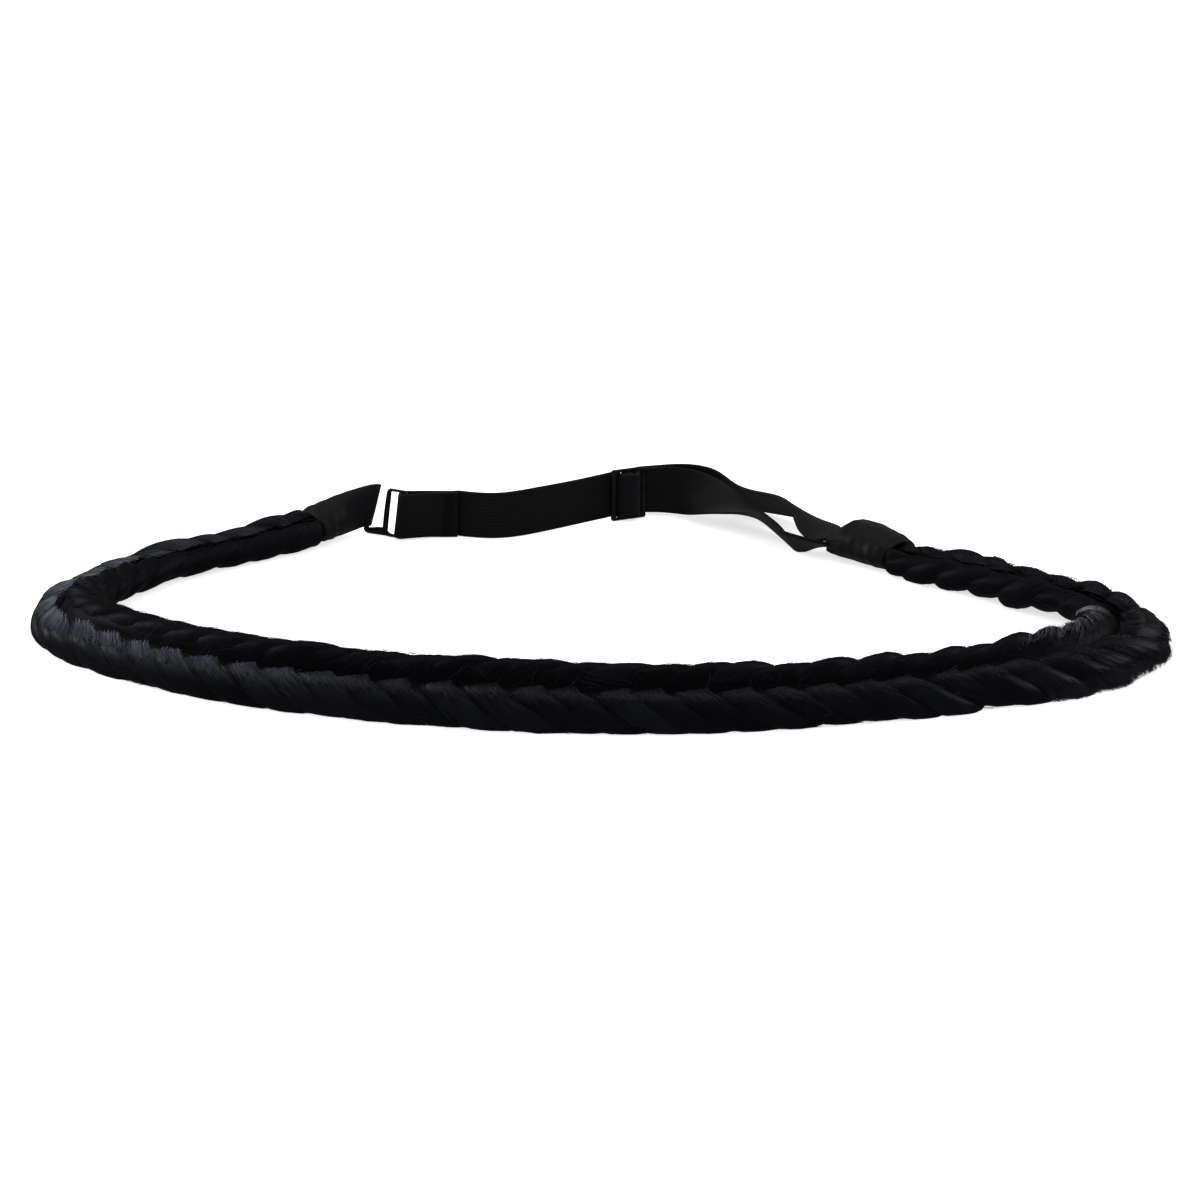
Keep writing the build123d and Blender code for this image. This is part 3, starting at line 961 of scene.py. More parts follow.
    def over_core(self, crown: Array, share: Array, along: Array, degrees: Array) -> Array:
        """How high a lock stands over the core: a sine of the share to a power, less its tuck.

        The locks stand out strongly, but softly on the sides of the braid's left half.

        Args:
            crown: the lock's height.
            share: across the lock, from its back edge.
            along: places on the route.
            degrees: the angle on the lobe, 0 at its side.

        Returns:
            Millimetres.
        """
        softer = smooth((self.share_of(along) - 0.30) / 0.22) * (1 - smooth((degrees - 20) / 40))
        return (crown * np.sin(np.pi * share**self.skew) - self.tuck) * (1.35 - 0.70 * softer)

    def lit_tips(self, along: Array) -> Array:
        """How much painted highlight the locks' ends at the groove get, from 0 to 1, most of all round the
        left bend, where the light falls on them.
        """
        share = self.share_of(along)
        return 0.06 + 0.94 * smooth((share - 0.53) / 0.23) * (1 - smooth((share - 0.88) / 0.08))

    def shade_across(self, share: Array) -> Array:
        """How light a lock's end is across it: less at its front edge, which the next lock shades."""
        return 1 - 0.7 * smooth((share - 0.40) / 0.45)

    def tip_line(self, share: Array, along: Array) -> Array:
        """The degrees where an outer lock ends, furthest over the groove at its back, in a round step."""
        return self.valley(along) - 10 + 14 * (1 - share) * smooth(0.2 + share / 0.16)

    def core(self, finish: Material) -> Piece:
        """The bundle under the locks: the plain section, a little smaller, in rings.

        Args:
            finish: its hair.

        Returns:
            The piece.
        """
        last = self.route.length - self.end
        along = np.linspace(self.start, last, self.core_rings)[:, None]
        along, angle = np.broadcast_arrays(along, full_turn(self.core_around)[None, :])
        sweep = self.sweep * (1 - np.abs(np.cos(angle))) * smooth((last - along) / 20)
        low = self.core_gap + self.core_groove * self.in_groove(along, angle)
        points = self.skin(along + sweep, angle, -low)
        faces = stack_faces(self.core_rings, self.core_around)
        uv = np.stack([along * 0.02, angle * 0.6], axis=-1)
        return build_piece("braid_core", points, faces, finish, uv=uv, tone=np.zeros(angle.shape))

    def locks(self, lobe: Lobe, finish: Material, seed: int) -> Piece:
        """One lobe's locks: each wraps the lobe from groove to groove and lies over the one before it.

        Across a lock the height rises quickly from its back edge and falls slowly to its front edge,
        and carries strands, a sum of three sines of the share across. Along it, the lock swings
        forward towards the groove. The outer lobe's locks end over the groove in round tips, which
        fray where they are lit, and the inner lobe's locks dive in under them.

        Args:
            lobe: which lobe.
            finish: its hair.
            seed: for the locks' own differences.

        Returns:
            The piece.
        """
        random = np.random.default_rng(seed)
        outer = lobe is Lobe.OUTER
        base, broad, crown = (values[:, None, None] for values in self.lock_table(lobe))
        count = len(base)
        share = np.linspace(0, 1, self.across_points)[None, None, :]
        turn = np.linspace(-1, 1, self.steps_along)[None, :, None]
        phase = random.uniform(0, 2 * np.pi, (4, count, 1, 1))
        weight = random.uniform(0.1, 1.0, (3, count, 1, 1))

        far_side = 180 - self.valley(base)
        fray = sum(
            size * np.sin(2 * np.pi * waves * share + shift)
            for (size, waves), shift in zip(self.fray_waves, (phase[3], phase[0]))
        ) * (0.3 + 0.7 * self.lit_tips(base))
        tip = self.tip_line(share, base) + fray if outer else far_side + self.inner_end + fray
        over = turn > 0
        degrees = np.abs(turn) * np.where(over, tip, self.under_end)
        signed = degrees * np.sign(turn)
        angle = np.radians(degrees) * np.sign(turn)
        wander = sum(
            size * np.sin(rate * turn + shift) for (size, rate), shift in zip(self.wander_waves, phase[1:3])
        )
        along = self.on_lock(base, broad, share, angle) + wander
        last = self.route.length - self.end
        past_ends = np.minimum(along - self.start, last - along) < 0
        along = np.clip(along, self.start, last)

        relief = self.ridge_height * sum(
            size * weight[wave] * np.sin(2 * np.pi * waves * share + phase[wave] + drift * turn)
            for wave, (size, waves, drift) in enumerate(self.relief_waves)
        )
        edge, (early, reach, depth) = (tip, self.tip_dive) if outer else (far_side, self.inner_dive)
        under_start, under_reach, under_depth = self.under_dive
        under = smooth((degrees - under_start) / under_reach)
        dive = np.where(over, smooth((degrees - edge + early) / reach), under)
        lift = (self.over_core(crown, share, along, signed) + relief) * (1 - dive)
        lift = np.where(past_ends, -0.6, lift - np.where(over, depth, under_depth) * dive)
        half_width = self.route.section(along)[0]
        lift = lift * np.minimum(half_width / (self.route.width / 2), 1.1)
        points = self.skin(along, angle if outer else np.pi - angle, lift)
        quads = grid_quads(count, self.steps_along, self.across_points, False)

        zero = np.zeros(along.shape)
        # The tone differs at random from lock to lock. On the outer locks a painted highlight is added
        # towards their tips at the groove, by lit_tips, with painted shade at each lock's front edge, by
        # shade_across.
        tone = random.uniform(0.0, 0.08 if outer else 0.06, (count, 1, 1)) + zero
        if outer:
            lit = random.uniform(0.55, 1.0, (count, 1, 1)) * self.lit_tips(along)
            tone = tone + lit * smooth((turn - 0.38) / 0.58) ** 1.5 * self.shade_across(share)
        uv = np.stack([turn + 7.3 * np.arange(count)[:, None, None] + zero, share + zero], axis=-1)
        faces = [quads[:, ::-1] if outer else quads]
        return build_piece(f"locks_{lobe.name.lower()}", points, faces, finish, uv=uv, tone=tone)

    def strands(
        self, name: str, lines: Array, radius: Array, tone: Array, side: Array, finish: Material
    ) -> Piece:
        """Single strands: three-sided tubes with U along each strand.

        Args:
            name: the piece's name.
            lines: strands by points by 3.
            radius: strands by points.
            tone: strands by points.
            side: each strand's own V, strands by points.
            finish: their hair.

        Returns:
            The piece.
        """
        sides = 3
        points, faces = tubes(lines, radius, sides)
        share = np.linspace(0, 1, self.strand_steps)[None, :]
        uv = np.repeat(np.stack([share + np.zeros_like(side), side], axis=-1), sides, axis=1)
        return build_piece(name, points, faces, finish, uv=uv, tone=np.repeat(tone, sides, axis=1))

    def brush(self, name: str, brush: Brush, finish: Material, seed: int) -> Piece:
        """Free tips of the locks on one stretch of a lobe, in clumps, one for each lock.

        Each tip starts on its own lock's crown and runs on along the lock's swing. Its lift grows as
        the share of its length to the power 1.5, and a slow sine bends it aside.

        Args:
            name: the piece's name.
            brush: where the tips are and how they stand.
            finish: their hair.
            seed: for their differences.

        Returns:
            The piece.
        """
        random = np.random.default_rng(seed)
        column = (brush.count, 1)
        base, broad, crown = self.lock_table(brush.lobe)
        place = base + self.swing(np.radians(85 if brush.on_tips else brush.angles[0]))
        near = np.flatnonzero((place > brush.stretch[0]) & (place < brush.stretch[1]))
        lock = random.choice(near, column)
        base, broad, crown = base[lock], broad[lock], crown[lock]
        share = np.linspace(0, 1, self.strand_steps)[None, :]
        across = random.beta(1.1, 1.5, column)
        line = self.tip_line(across, base) if brush.on_tips else 0
        first = line + brush.angles[0] + random.normal(0, 4, column)
        last = line + brush.angles[1] + random.normal(0, brush.spread, column)
        if brush.on_tips:
            last = last - 9 * (1 - self.lit_tips(base))
        angle = np.radians(first + (last - first) * share)
        aside = np.sin(np.pi * share * random.uniform(0.6, 1.4, column))
        bend = brush.curl * aside * random.normal(0, 1, column)
        along = self.on_lock(base, broad, across, angle) + bend
        along = np.clip(along, self.start + 1, self.route.length - self.end - 1)
        lift = self.over_core(crown, across, along, np.degrees(angle)) * np.cos(share * np.pi / 3)
        lift = lift + random.uniform(-0.12, 0.12, column) + random.uniform(*brush.rise, column) * share**1.5
        lines = self.skin(along, np.pi - angle if brush.lobe is Lobe.INNER else angle, lift)
        # Painted highlight: each strand is lighter towards its tip, by the brush's light. The tips on the
        # locks also take the locks' painted highlight and painted shade.
        tone = (0.16 + 0.84 * share**1.5) * random.uniform(0.35, 1.0, column) * brush.light
        if brush.on_tips:
            tone = tone * self.lit_tips(base) * self.shade_across(across)
        zero = np.zeros_like(tone)
        radius = brush.radius * (1 - 0.6 * share) + zero
        return self.strands(name, lines, radius, tone, random.uniform(0, 1, column) + zero, finish)

    def loose_hair(self, name: str, loose: Loose, finish: Material, seed: int) -> Piece:
        """Loose strands that leave the locks: each runs along the lock's own swing and lifts off.

        The path is worked out in the section: its place along the route and its angle change evenly,
        and its lift grows as the share of its length to the power 1.6.

        Args:
            name: the piece's name.
            loose: how many, how long and how high.
            finish: their hair.
            seed: for their differences.

        Returns:
            The piece.
        """
        random = np.random.default_rng(seed)
        column = (loose.count, 1)
        share = np.linspace(0, 1, self.strand_steps)[None, :]
        root = random.uniform(self.start + 8, self.route.length - self.end - 8, column)
        side = random.choice([-1.0, 1.0], column)
        upper = random.uniform(-25, 88, column)
        run = random.uniform(*loose.length, column)
        heading = 0.85 + random.normal(0, 0.35, column)
        turned = np.degrees(run * np.sin(heading) / 6.5) * share * random.choice([1.0, 1.0, -0.5], column)
        angle = np.radians(np.clip(upper + turned, -60, 100))
        angle = np.where(side > 0, angle, np.pi - angle)
        lift = random.uniform(-0.1, 0.22, column) + random.uniform(*loose.rise, column) * share**1.6
        lines = self.skin(root + run * np.cos(heading) * share, angle, lift)
        zero = np.zeros((loose.count, self.strand_steps))
        tone = random.uniform(0, 0.35, column) + zero
        return self.strands(name, lines, loose.radius * (1 - 0.75 * share) + zero, tone, tone, finish)

    def build(self, hair: Material, shaded: Material, stray: Material, bright: Material) -> list[Piece]:
        """All the hair.

        Args:
            hair: the outer locks' finish.
            shaded: the finish of the core, the inner locks and the strands on them.
            stray: the finish of the tips and the strands that stand off, with a painted highlight.
            bright: the finish of the tufts that catch the light.

        Returns:
            The pieces.
        """
        tips = {"on_tips": True, "spread": 2.0, "radius": 0.09, "light": 2.0}
        groove = Brush(Lobe.OUTER, (40, 352), 4200, (-26, 2), (0.05, 0.35), **tips)
        fringe = Brush(Lobe.OUTER, (48, 118), 1800, (34, -16), (0.4, 1.5), spread=14, radius=0.08, light=0.25)
        tufts = Brush(Lobe.INNER, (82, 112), 190, (58, 14), (0.2, 0.9), spread=12, curl=0.7, radius=0.07)
        fuzz = Brush(Lobe.INNER, (140, 350), 700, (34, 6), (0.1, 0.5), spread=8, radius=0.035, light=0.1)
        pieces = [
            self.core(shaded),
            self.locks(Lobe.OUTER, hair, 11),
            self.locks(Lobe.INNER, shaded, 23),
            self.loose_hair("surface_strands", Loose(1200, (4, 11), (0.0, 0.15), 0.06), shaded, 5),
            self.loose_hair("stray_tips", Loose(45, (2.5, 6), (0.3, 0.9), 0.035), stray, 7),
            self.brush("groove_tips", groove, stray, 13),
            self.brush("bend_fringe", fringe, stray, 19),
            self.brush("inner_tufts", tufts, bright, 29),
            self.brush("inner_fuzz", fuzz, stray, 37),
        ]
        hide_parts("braid")
        return pieces


# ---------- the elastic


@dataclass
class Stations:
    """Sections of the elastic in order: middles, the ways to their upper edges, and widths."""

    points: list[Array] = field(default_factory=list)
    rulings: list[Array] = field(default_factory=list)
    widths: list[Array] = field(default_factory=list)

    def add(self, points: Array, rulings: Array, widths: Array | float) -> None:
        """More sections.

        Args:
            points: their middles.
            rulings: the ways to their upper edges, or one for all.
            widths: their widths, or one for all.
        """
        points = np.atleast_2d(points)
        self.points.append(points)
        self.rulings.append(unit(np.broadcast_to(rulings, points.shape)))
        self.widths.append(np.broadcast_to(widths, len(points)))

    def arc(
        self,
        centre: Array,
        radius: float,
        turn: Span,
        axes: tuple[Array, Array],
        count: int,
        ruling: Array,
        width: float,
    ) -> None:
        """Sections round an arc: the centre, and the radius times the cosine and sine on two axes.

        Args:
            centre: the arc's centre.
            radius: its radius.
            turn: the first and the last angle, in degrees.
            axes: the ways at 0 and at 90 degrees.
            count: how many steps.
            ruling: the way to the upper edge.
            width: the elastic's width.
        """
        angle = np.radians(np.linspace(*turn, count + 1))[:, None]
        self.add(centre + (axes[0] * np.cos(angle) + axes[1] * np.sin(angle)) * radius, ruling, width)

    def last(self) -> Array:
        """The last section's middle."""
        return self.points[-1][-1]


@dataclass
class Elastic:
    """The woven elastic: sewn round the hook, through the slider, into the right sleeve and back.

    Each row of a layer is x and y as shares of the route's half width and depth, z as a share of
    the elastic's width, the degrees that its upper edge leans to the front, and a share of width.
    All sizes are millimetres and degrees. A hold is the share of a bar's thickness between the bar's
    middle and the elastic. The selvedge is a rise, and its place and reach as shares of half the width.
    """

    route: BraidRoute
    width: float = 9.8
    thickness: float = 0.9
    pinch: float = 5.8
    tail: float = 11.0
    layer_gap: float = 0.2
    wrap_gap: float = 0.1
    hook_bar: float = 1.1
    hook_hold: float = 0.62
    hook_height: float = 10.5
    hook_width: float = 9.7
    hook_pitch: float = 8.55
    hook_lean: float = 8.0
    hook_turn: float = -28.0
    fold_inset: float = 1.7278
    slider_bar: float = 1.0
    slider_hold: float = 0.57
    slider_pitch: float = 3.4
    slider_width: float = 9.64
    slider_height: float = 11.0
    slider_turn: float = 25.0
    slider_x: float = 0.057
    slider_y: float = 1.466
    foot: float = 0.05
    tie_radius: float = 0.5
    tie_depth: float = 3.2
    mouth_height: float = 3.01
    around: int = 36
    fine_sections: int = 900
    corner_power: float = 0.35
    selvedge: Row3 = (0.10, 0.86, 0.08)
    thinning: float = 0.06
    stitch_rows: tuple[int, int] = (6, 11)
    stitch_reach: float = 0.42
    stitch_half: float = 0.62
    stitch_slant: float = 0.22
    stitch_arch: float = 0.10
    stitch_sink: float = 0.05
    stitch_radius: float = 0.13
    stitches_a_row: int = 12
    single: tuple[Row5, ...] = (
        (-0.310, 1.200, 0.51, 0, 1.00),
        (-0.215, 1.194, 0.51, 0, 1.00),
        (-0.130, 1.274, 0.51, 0, 1.00),
        (-0.045, 1.386, 0.52, 0, 0.98),
    )
    front: tuple[Row5, ...] = (
        (0.125, 1.528, 0.56, -10, 0.98),
        (0.182, 1.505, 0.54, -31, 1.00),
        (0.240, 1.414, 0.48, -68, 1.00),
        (0.287, 1.300, 0.45, -96, 1.00),
        (0.330, 1.185, 0.45, -117, 1.00),
        (0.358, 1.066, 0.38, -131, 0.98),
        (0.392, 0.962, 0.28, -131, 0.96),
        (0.436, 0.950, 0.25, -116, 0.88),
    )
    back: tuple[Row5, ...] = (
        (0.120, 1.580, 0.54, 0, 0.98),
        (0.180, 1.608, 0.52, 4, 1.00),
        (0.240, 1.612, 0.45, 22, 1.00),
        (0.293, 1.560, 0.37, 41, 1.00),
        (0.342, 1.470, 0.37, 48, 0.98),
        (0.388, 1.375, 0.42, 49, 0.96),
        (0.424, 1.255, 0.44, 60, 0.92),
        (0.446, 1.110, 0.37, 88, 0.92),
        (0.463, 1.030, 0.35, 96, 0.80),
    )

    def twisting(
        self, rows: tuple[Row5, ...], start: tuple[Array, float], end: tuple[Array, float], count: int
    ) -> tuple[Array, Array, Array]:
        """Sections on a natural cubic through a table, turning about its length by the table's leans.

        Args:
            rows: the table.
            start: the middle and width of the section before it.
            end: the middle and width of the section after it.
            count: how many steps.

        Returns:
            The middles, rulings and widths of the sections between the two.
        """
        table = np.array(rows)
        scale = [self.route.half_width, self.route.half_depth, self.width]
        knots = np.vstack([start[0], table[:, :3] * scale, end[0]])
        places = chords(knots)
        last = table[-1, 3]
        leans = np.concatenate([[0], table[:, 3], [0 if last == 0 else math.copysign(90, last)]])
        widths = np.concatenate([[start[1]], table[:, 4] * self.width, [end[1]]])
        dense = natural_cubic(places, knots, np.linspace(0, places[-1], 4000))
        run = chords(dense)
        share = np.arange(1, count) / count
        middle = read_rows(share * run[-1], run, dense)
        ahead = unit(read_rows(share * run[-1], run, np.gradient(dense, axis=0)))
        front = unit(np.cross(ahead, UP))
        above = np.cross(front, ahead)
        lean = np.radians(natural_cubic(places, leans[:, None], share * places[-1]))
        ruling = above * np.cos(lean) + front * np.sin(lean)
        return middle, ruling, np.interp(share * places[-1], places, widths)

    def hook_frame(self) -> tuple[Array, Array, Array]:
        """Where the hook stands.

        Returns:
            Its first bar's foot, the way along it, and its leaning upright.
        """
        turn = math.radians(self.hook_turn)
        along = np.array([math.cos(turn), math.sin(turn), 0])
        lean = math.tan(math.radians(self.hook_lean))
        bar_point, _, _ = self.route.plan(np.array(self.route.length - self.fold_inset))
        return bar_point - along * (lean * self.hook_height / 2), along, UP + along * lean

    def round_hook(self, path: Stations) -> None:
        """The sewn tail, the turn round the hook's last bar, and the first stretch back.

        Args:
            path: where the sections go.
        """
        foot_point, along, axis = self.hook_frame()
        scale = [self.route.half_width, self.route.half_depth]
        hook_middle = self.foot + self.hook_height / 2
        drop = hook_middle - self.single[0][2] * self.width
        pin = foot_point + along * self.hook_pitch + axis * hook_middle
        run = unit(np.append(np.array(self.single[0][:2]) * scale - pin[:2], 0))
        face = np.cross(run, UP)
        radius = self.hook_bar * self.hook_hold + self.wrap_gap + self.thickness / 2
        narrow = [self.hook_width, self.hook_width, self.width, self.width]
        steps = 8

        def stretch(share: Array, offset: Array) -> None:
            """Adds the sections of one sewn stretch.

            Args:
                share: how far along it each section is.
                offset: how far each section lies beside its line.
            """
            middle = pin + run * (self.tail * share)[:, None] + face * offset[:, None]
            width = np.interp(share, [0, 0.2, 0.5, 1], narrow)
            path.add(middle - UP * (drop * smooth(share))[:, None], axis, width)

        share = 1 - np.arange(steps) / steps
        closing = self.thickness + self.layer_gap - 2 * radius
        stretch(share, radius + closing * smooth(1.6 * share))
        path.arc(pin, radius, (90, 270), (run, face), 10, axis, self.hook_width)
        stretch(share[::-1], np.full(steps, -radius))

    def stations(self) -> Stations:
        """Every section of the elastic, from the sewn tail to the end on the slider's middle bar.

        Returns:
            The sections, before they are made finer.
        """
        half = self.thickness / 2
        path = Stations()
        self.round_hook(path)

        # along to the slider and through it
        _, along, _ = self.hook_frame()
        lean = math.tan(math.radians(self.hook_lean))
        turn = math.radians(self.slider_turn)
        ahead = np.array([math.cos(turn), math.sin(turn), 0])
        facing = np.array([ahead[1], -ahead[0], 0])
        axes = (ahead, facing)
        middle = (self.slider_x * self.route.half_width, self.slider_y * self.route.half_depth)
        heart = np.array([*middle, self.foot + self.slider_height / 2])
        bar = self.slider_bar * self.slider_hold + self.wrap_gap + half
        over = bar + self.thickness + self.wrap_gap
        slant = math.degrees(math.asin((bar + over) / self.slider_pitch))
        left, right = heart - ahead * self.slider_pitch, heart + ahead * self.slider_pitch
        arrive = (left - facing * bar, self.slider_width)
        steps = 24
        point, _, width = self.twisting(self.single[1:], (path.last(), self.width), arrive, steps)
        fade = 1 - smooth(2.5 * np.arange(1, steps) / steps)
        path.add(point, UP + along * (lean * fade)[:, None], width)
        path.arc(left, bar, (-90, slant - 90), axes, 5, UP, self.slider_width)
        path.arc(heart, over, (90 + slant, 90 - slant), axes, 10, UP, self.slider_width)
        path.arc(right, bar, (-90 - slant, -90), axes, 5, UP, self.slider_width)

        # down into the right sleeve, round its tie and back
        mouth, into, outward = self.route.plan(np.array(0.0))
        tie = mouth + into * self.tie_depth + UP * self.mouth_height
        loop = self.tie_radius + self.wrap_gap + half
        low = mouth + UP * (self.mouth_height - loop)
        high = mouth + UP * (self.mouth_height + loop)
        path.add(*self.twisting(self.front, (path.last(), self.slider_width), (low, self.pinch), 48))
        path.add(low, outward, self.pinch)
        path.arc(tie, loop, (-90, 90), (into, UP), 10, outward, self.pinch)
        path.add(high, outward, self.pinch)
        behind = right - facing * (bar + self.thickness + self.layer_gap + self.wrap_gap)
        point, ruling, width = self.twisting(self.back, (behind, self.slider_width), (high, self.pinch), 48)
        path.add(point[::-1], -ruling[::-1], width[::-1])
        path.add(behind, -UP, self.slider_width)
        path.arc(heart, bar, (-75, -270), axes, 12, -UP, self.slider_width)
        path.add(heart + facing * bar + ahead * (self.slider_bar / 2), -UP, self.slider_width)
        return path

    def build(self, finish: Material) -> list[Piece]:
        """The elastic and the stitches that close its tail.

        The stations are read through a natural cubic, and each section is a flat rounded band, the
        cosine and sine of a turn to a small power, whose selvedges are a little thicker.

        Args:
            finish: the elastic's cloth.

        Returns:
            The pieces.
        """
        path = self.stations()
        middles, rulings = np.concatenate(path.points), np.concatenate(path.rulings)
        places = chords(middles)
        keep = np.concatenate([[True], np.diff(places) > 0.05])
        widths, places = np.concatenate(path.widths)[keep], places[keep]
        fine = np.linspace(0, places[-1], self.fine_sections)
        middle = natural_cubic(places, middles[keep], fine)
        ahead = unit(np.gradient(middle, axis=0))
        face = unit(np.cross(ahead, unit(read_rows(fine, places, rulings[keep]))))
        ruling = unit(np.cross(face, ahead))
        width = np.interp(fine, places, widths)
        angle = full_turn(self.around)
        sides = (np.cos(angle), np.sin(angle))
        flat, thick = (np.sign(side) * np.abs(side) ** self.corner_power for side in sides)
        rise, at, reach = self.selvedge
        swell = 1 + rise * np.exp(-(((np.abs(flat) - at) / reach) ** 2)) - self.thinning
        points = (
            middle[:, None]
            + ruling[:, None] * (flat[None, :, None] * (width / 2)[:, None, None])
            + face[:, None] * (thick * swell * self.thickness / 2)[None, :, None]
        )
        points[..., 2] = np.maximum(points[..., 2], LEAST_HEIGHT)
        faces = stack_faces(self.fine_sections, self.around)
        girth = (flat * self.width / 2 * MM)[None, :]
        uv = np.stack(np.broadcast_arrays((fine * MM)[:, None], girth), axis=-1)
        band = build_piece("elastic", points + self.route.seat, faces, finish, uv=uv)
        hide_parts("strap")
        stitches = self.stitches(middle, ruling, face, width, finish)
        return [band, stitches]

    def stitches(
        self, middle: Array, ruling: Array, face: Array, width: Array, thread: Material
    ) -> Piece:
        """Two close rows of stitches across the end of the sewn tail, each stitch a low arch.

        Args:
            middle: the band's middles.
            ruling: the ways to its upper edge.
            face: its face normals.
            width: its widths.
            thread: the finish.

        Returns:
            The piece.
        """
        place = np.array(self.stitch_rows)
        height = np.linspace(-self.stitch_reach, self.stitch_reach, self.stitches_a_row)
        share = np.linspace(-1, 1, 7)
        ahead = unit(np.gradient(middle, axis=0))
        rise = height[None, :, None] * width[place][:, None, None]
        centre = middle[place][:, None] + ruling[place][:, None] * rise
        arch = self.thickness / 2 + self.stitch_arch * (1 - share**2) - self.stitch_sink
        out = face[place] * np.sign(face[place] @ np.array([0, -1, 0]))[:, None]
        lines = (
            centre[:, :, None]
            + ahead[place][:, None, None] * (self.stitch_half * share)[None, None, :, None]
            + ruling[place][:, None, None] * (self.stitch_slant * share)[None, None, :, None]
            + out[:, None, None] * arch[None, None, :, None]
        )
        lines = lines.reshape(-1, len(share), 3) + self.route.seat
        points, faces = tubes(lines, np.full(lines.shape[:2], self.stitch_radius), 6)
        return build_piece("tail_stitches", points, faces, thread, uv=np.zeros((len(points), 2)))


# ---------- the hook and the slider


@dataclass
class Hook:
    """The hook: one rounded bar, bent into an open ring with a foot and an upright end.

    Each row is a place on the bar: millimetres along the hook, its height, and the bar's half breadth
    in the hook's plane.
    """

    elastic: Elastic
    depth: float = 0.5
    around: int = 16
    rows: tuple[Row3, ...] = (
        (0.00, 9.10, 0.20),
        (0.00, 8.90, 0.45),
        (0.00, 8.50, 0.50),
        (0.00, 1.70, 0.52),
        (0.00, 0.72, 0.62),
        (1.00, 0.70, 0.66),
        (2.60, 0.88, 0.82),
        (3.80, 0.96, 0.90),
        (4.70, 0.78, 0.72),
        (5.50, 0.40, 0.36),
        (7.70, 0.30, 0.29),
        (8.55, 0.32, 0.32),
        (8.55, 1.30, 0.50),
        (8.55, 9.20, 0.50),
        (8.55, 10.18, 0.32),
        (7.70, 10.20, 0.28),
        (5.30, 10.20, 0.28),
        (4.50, 10.10, 0.42),
        (4.48, 9.20, 0.56),
        (4.40, 5.30, 0.60),
        (4.48, 1.80, 0.62),
        (4.48, 1.00, 0.62),
    )

    def build(self, finish: Material) -> Piece:
        """The bar: its corners are cut three times, and each point gets an oval ring.

        Args:
            finish: its lacquer.

        Returns:
            The piece.
        """
        line = np.array(self.rows)
        for _ in range(3):
            near, far = line[:-1] * 0.75 + line[1:] * 0.25, line[:-1] * 0.25 + line[1:] * 0.75
            line = np.concatenate([line[:1], np.stack([near, far], axis=1).reshape(-1, 3), line[-1:]])
        foot, along, axis = self.elastic.hook_frame()
        reach, height, breadth = line[:, :1], line[:, 1:2], line[:, 2:]
        middle = foot + along * reach + axis * height + UP * self.elastic.foot
        normal = unit(np.cross(along, unit(axis)))
        side = unit(np.cross(unit(np.gradient(middle, axis=0)), normal))
        angle = full_turn(self.around)[None, :]
        depth = self.depth * np.minimum(breadth / 0.4, 1)
        points = (
            middle[:, None]
            + side[:, None] * (breadth * np.cos(angle))[:, :, None]
            + normal * (depth * np.sin(angle))[:, :, None]
        )
        points[..., 2] = np.maximum(points[..., 2], LEAST_HEIGHT)
        faces = stack_faces(len(line), self.around, True)
        piece = build_piece("open_hook", points + self.elastic.route.seat, faces, finish)
        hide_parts("hook")
        return piece


def dress_node(name: str, finish: Material) -> None:
    """A CAD node keeps its shape and gets a finish."""
    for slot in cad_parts[name].material_slots:
        slot.material = finish


# ---------- the studio


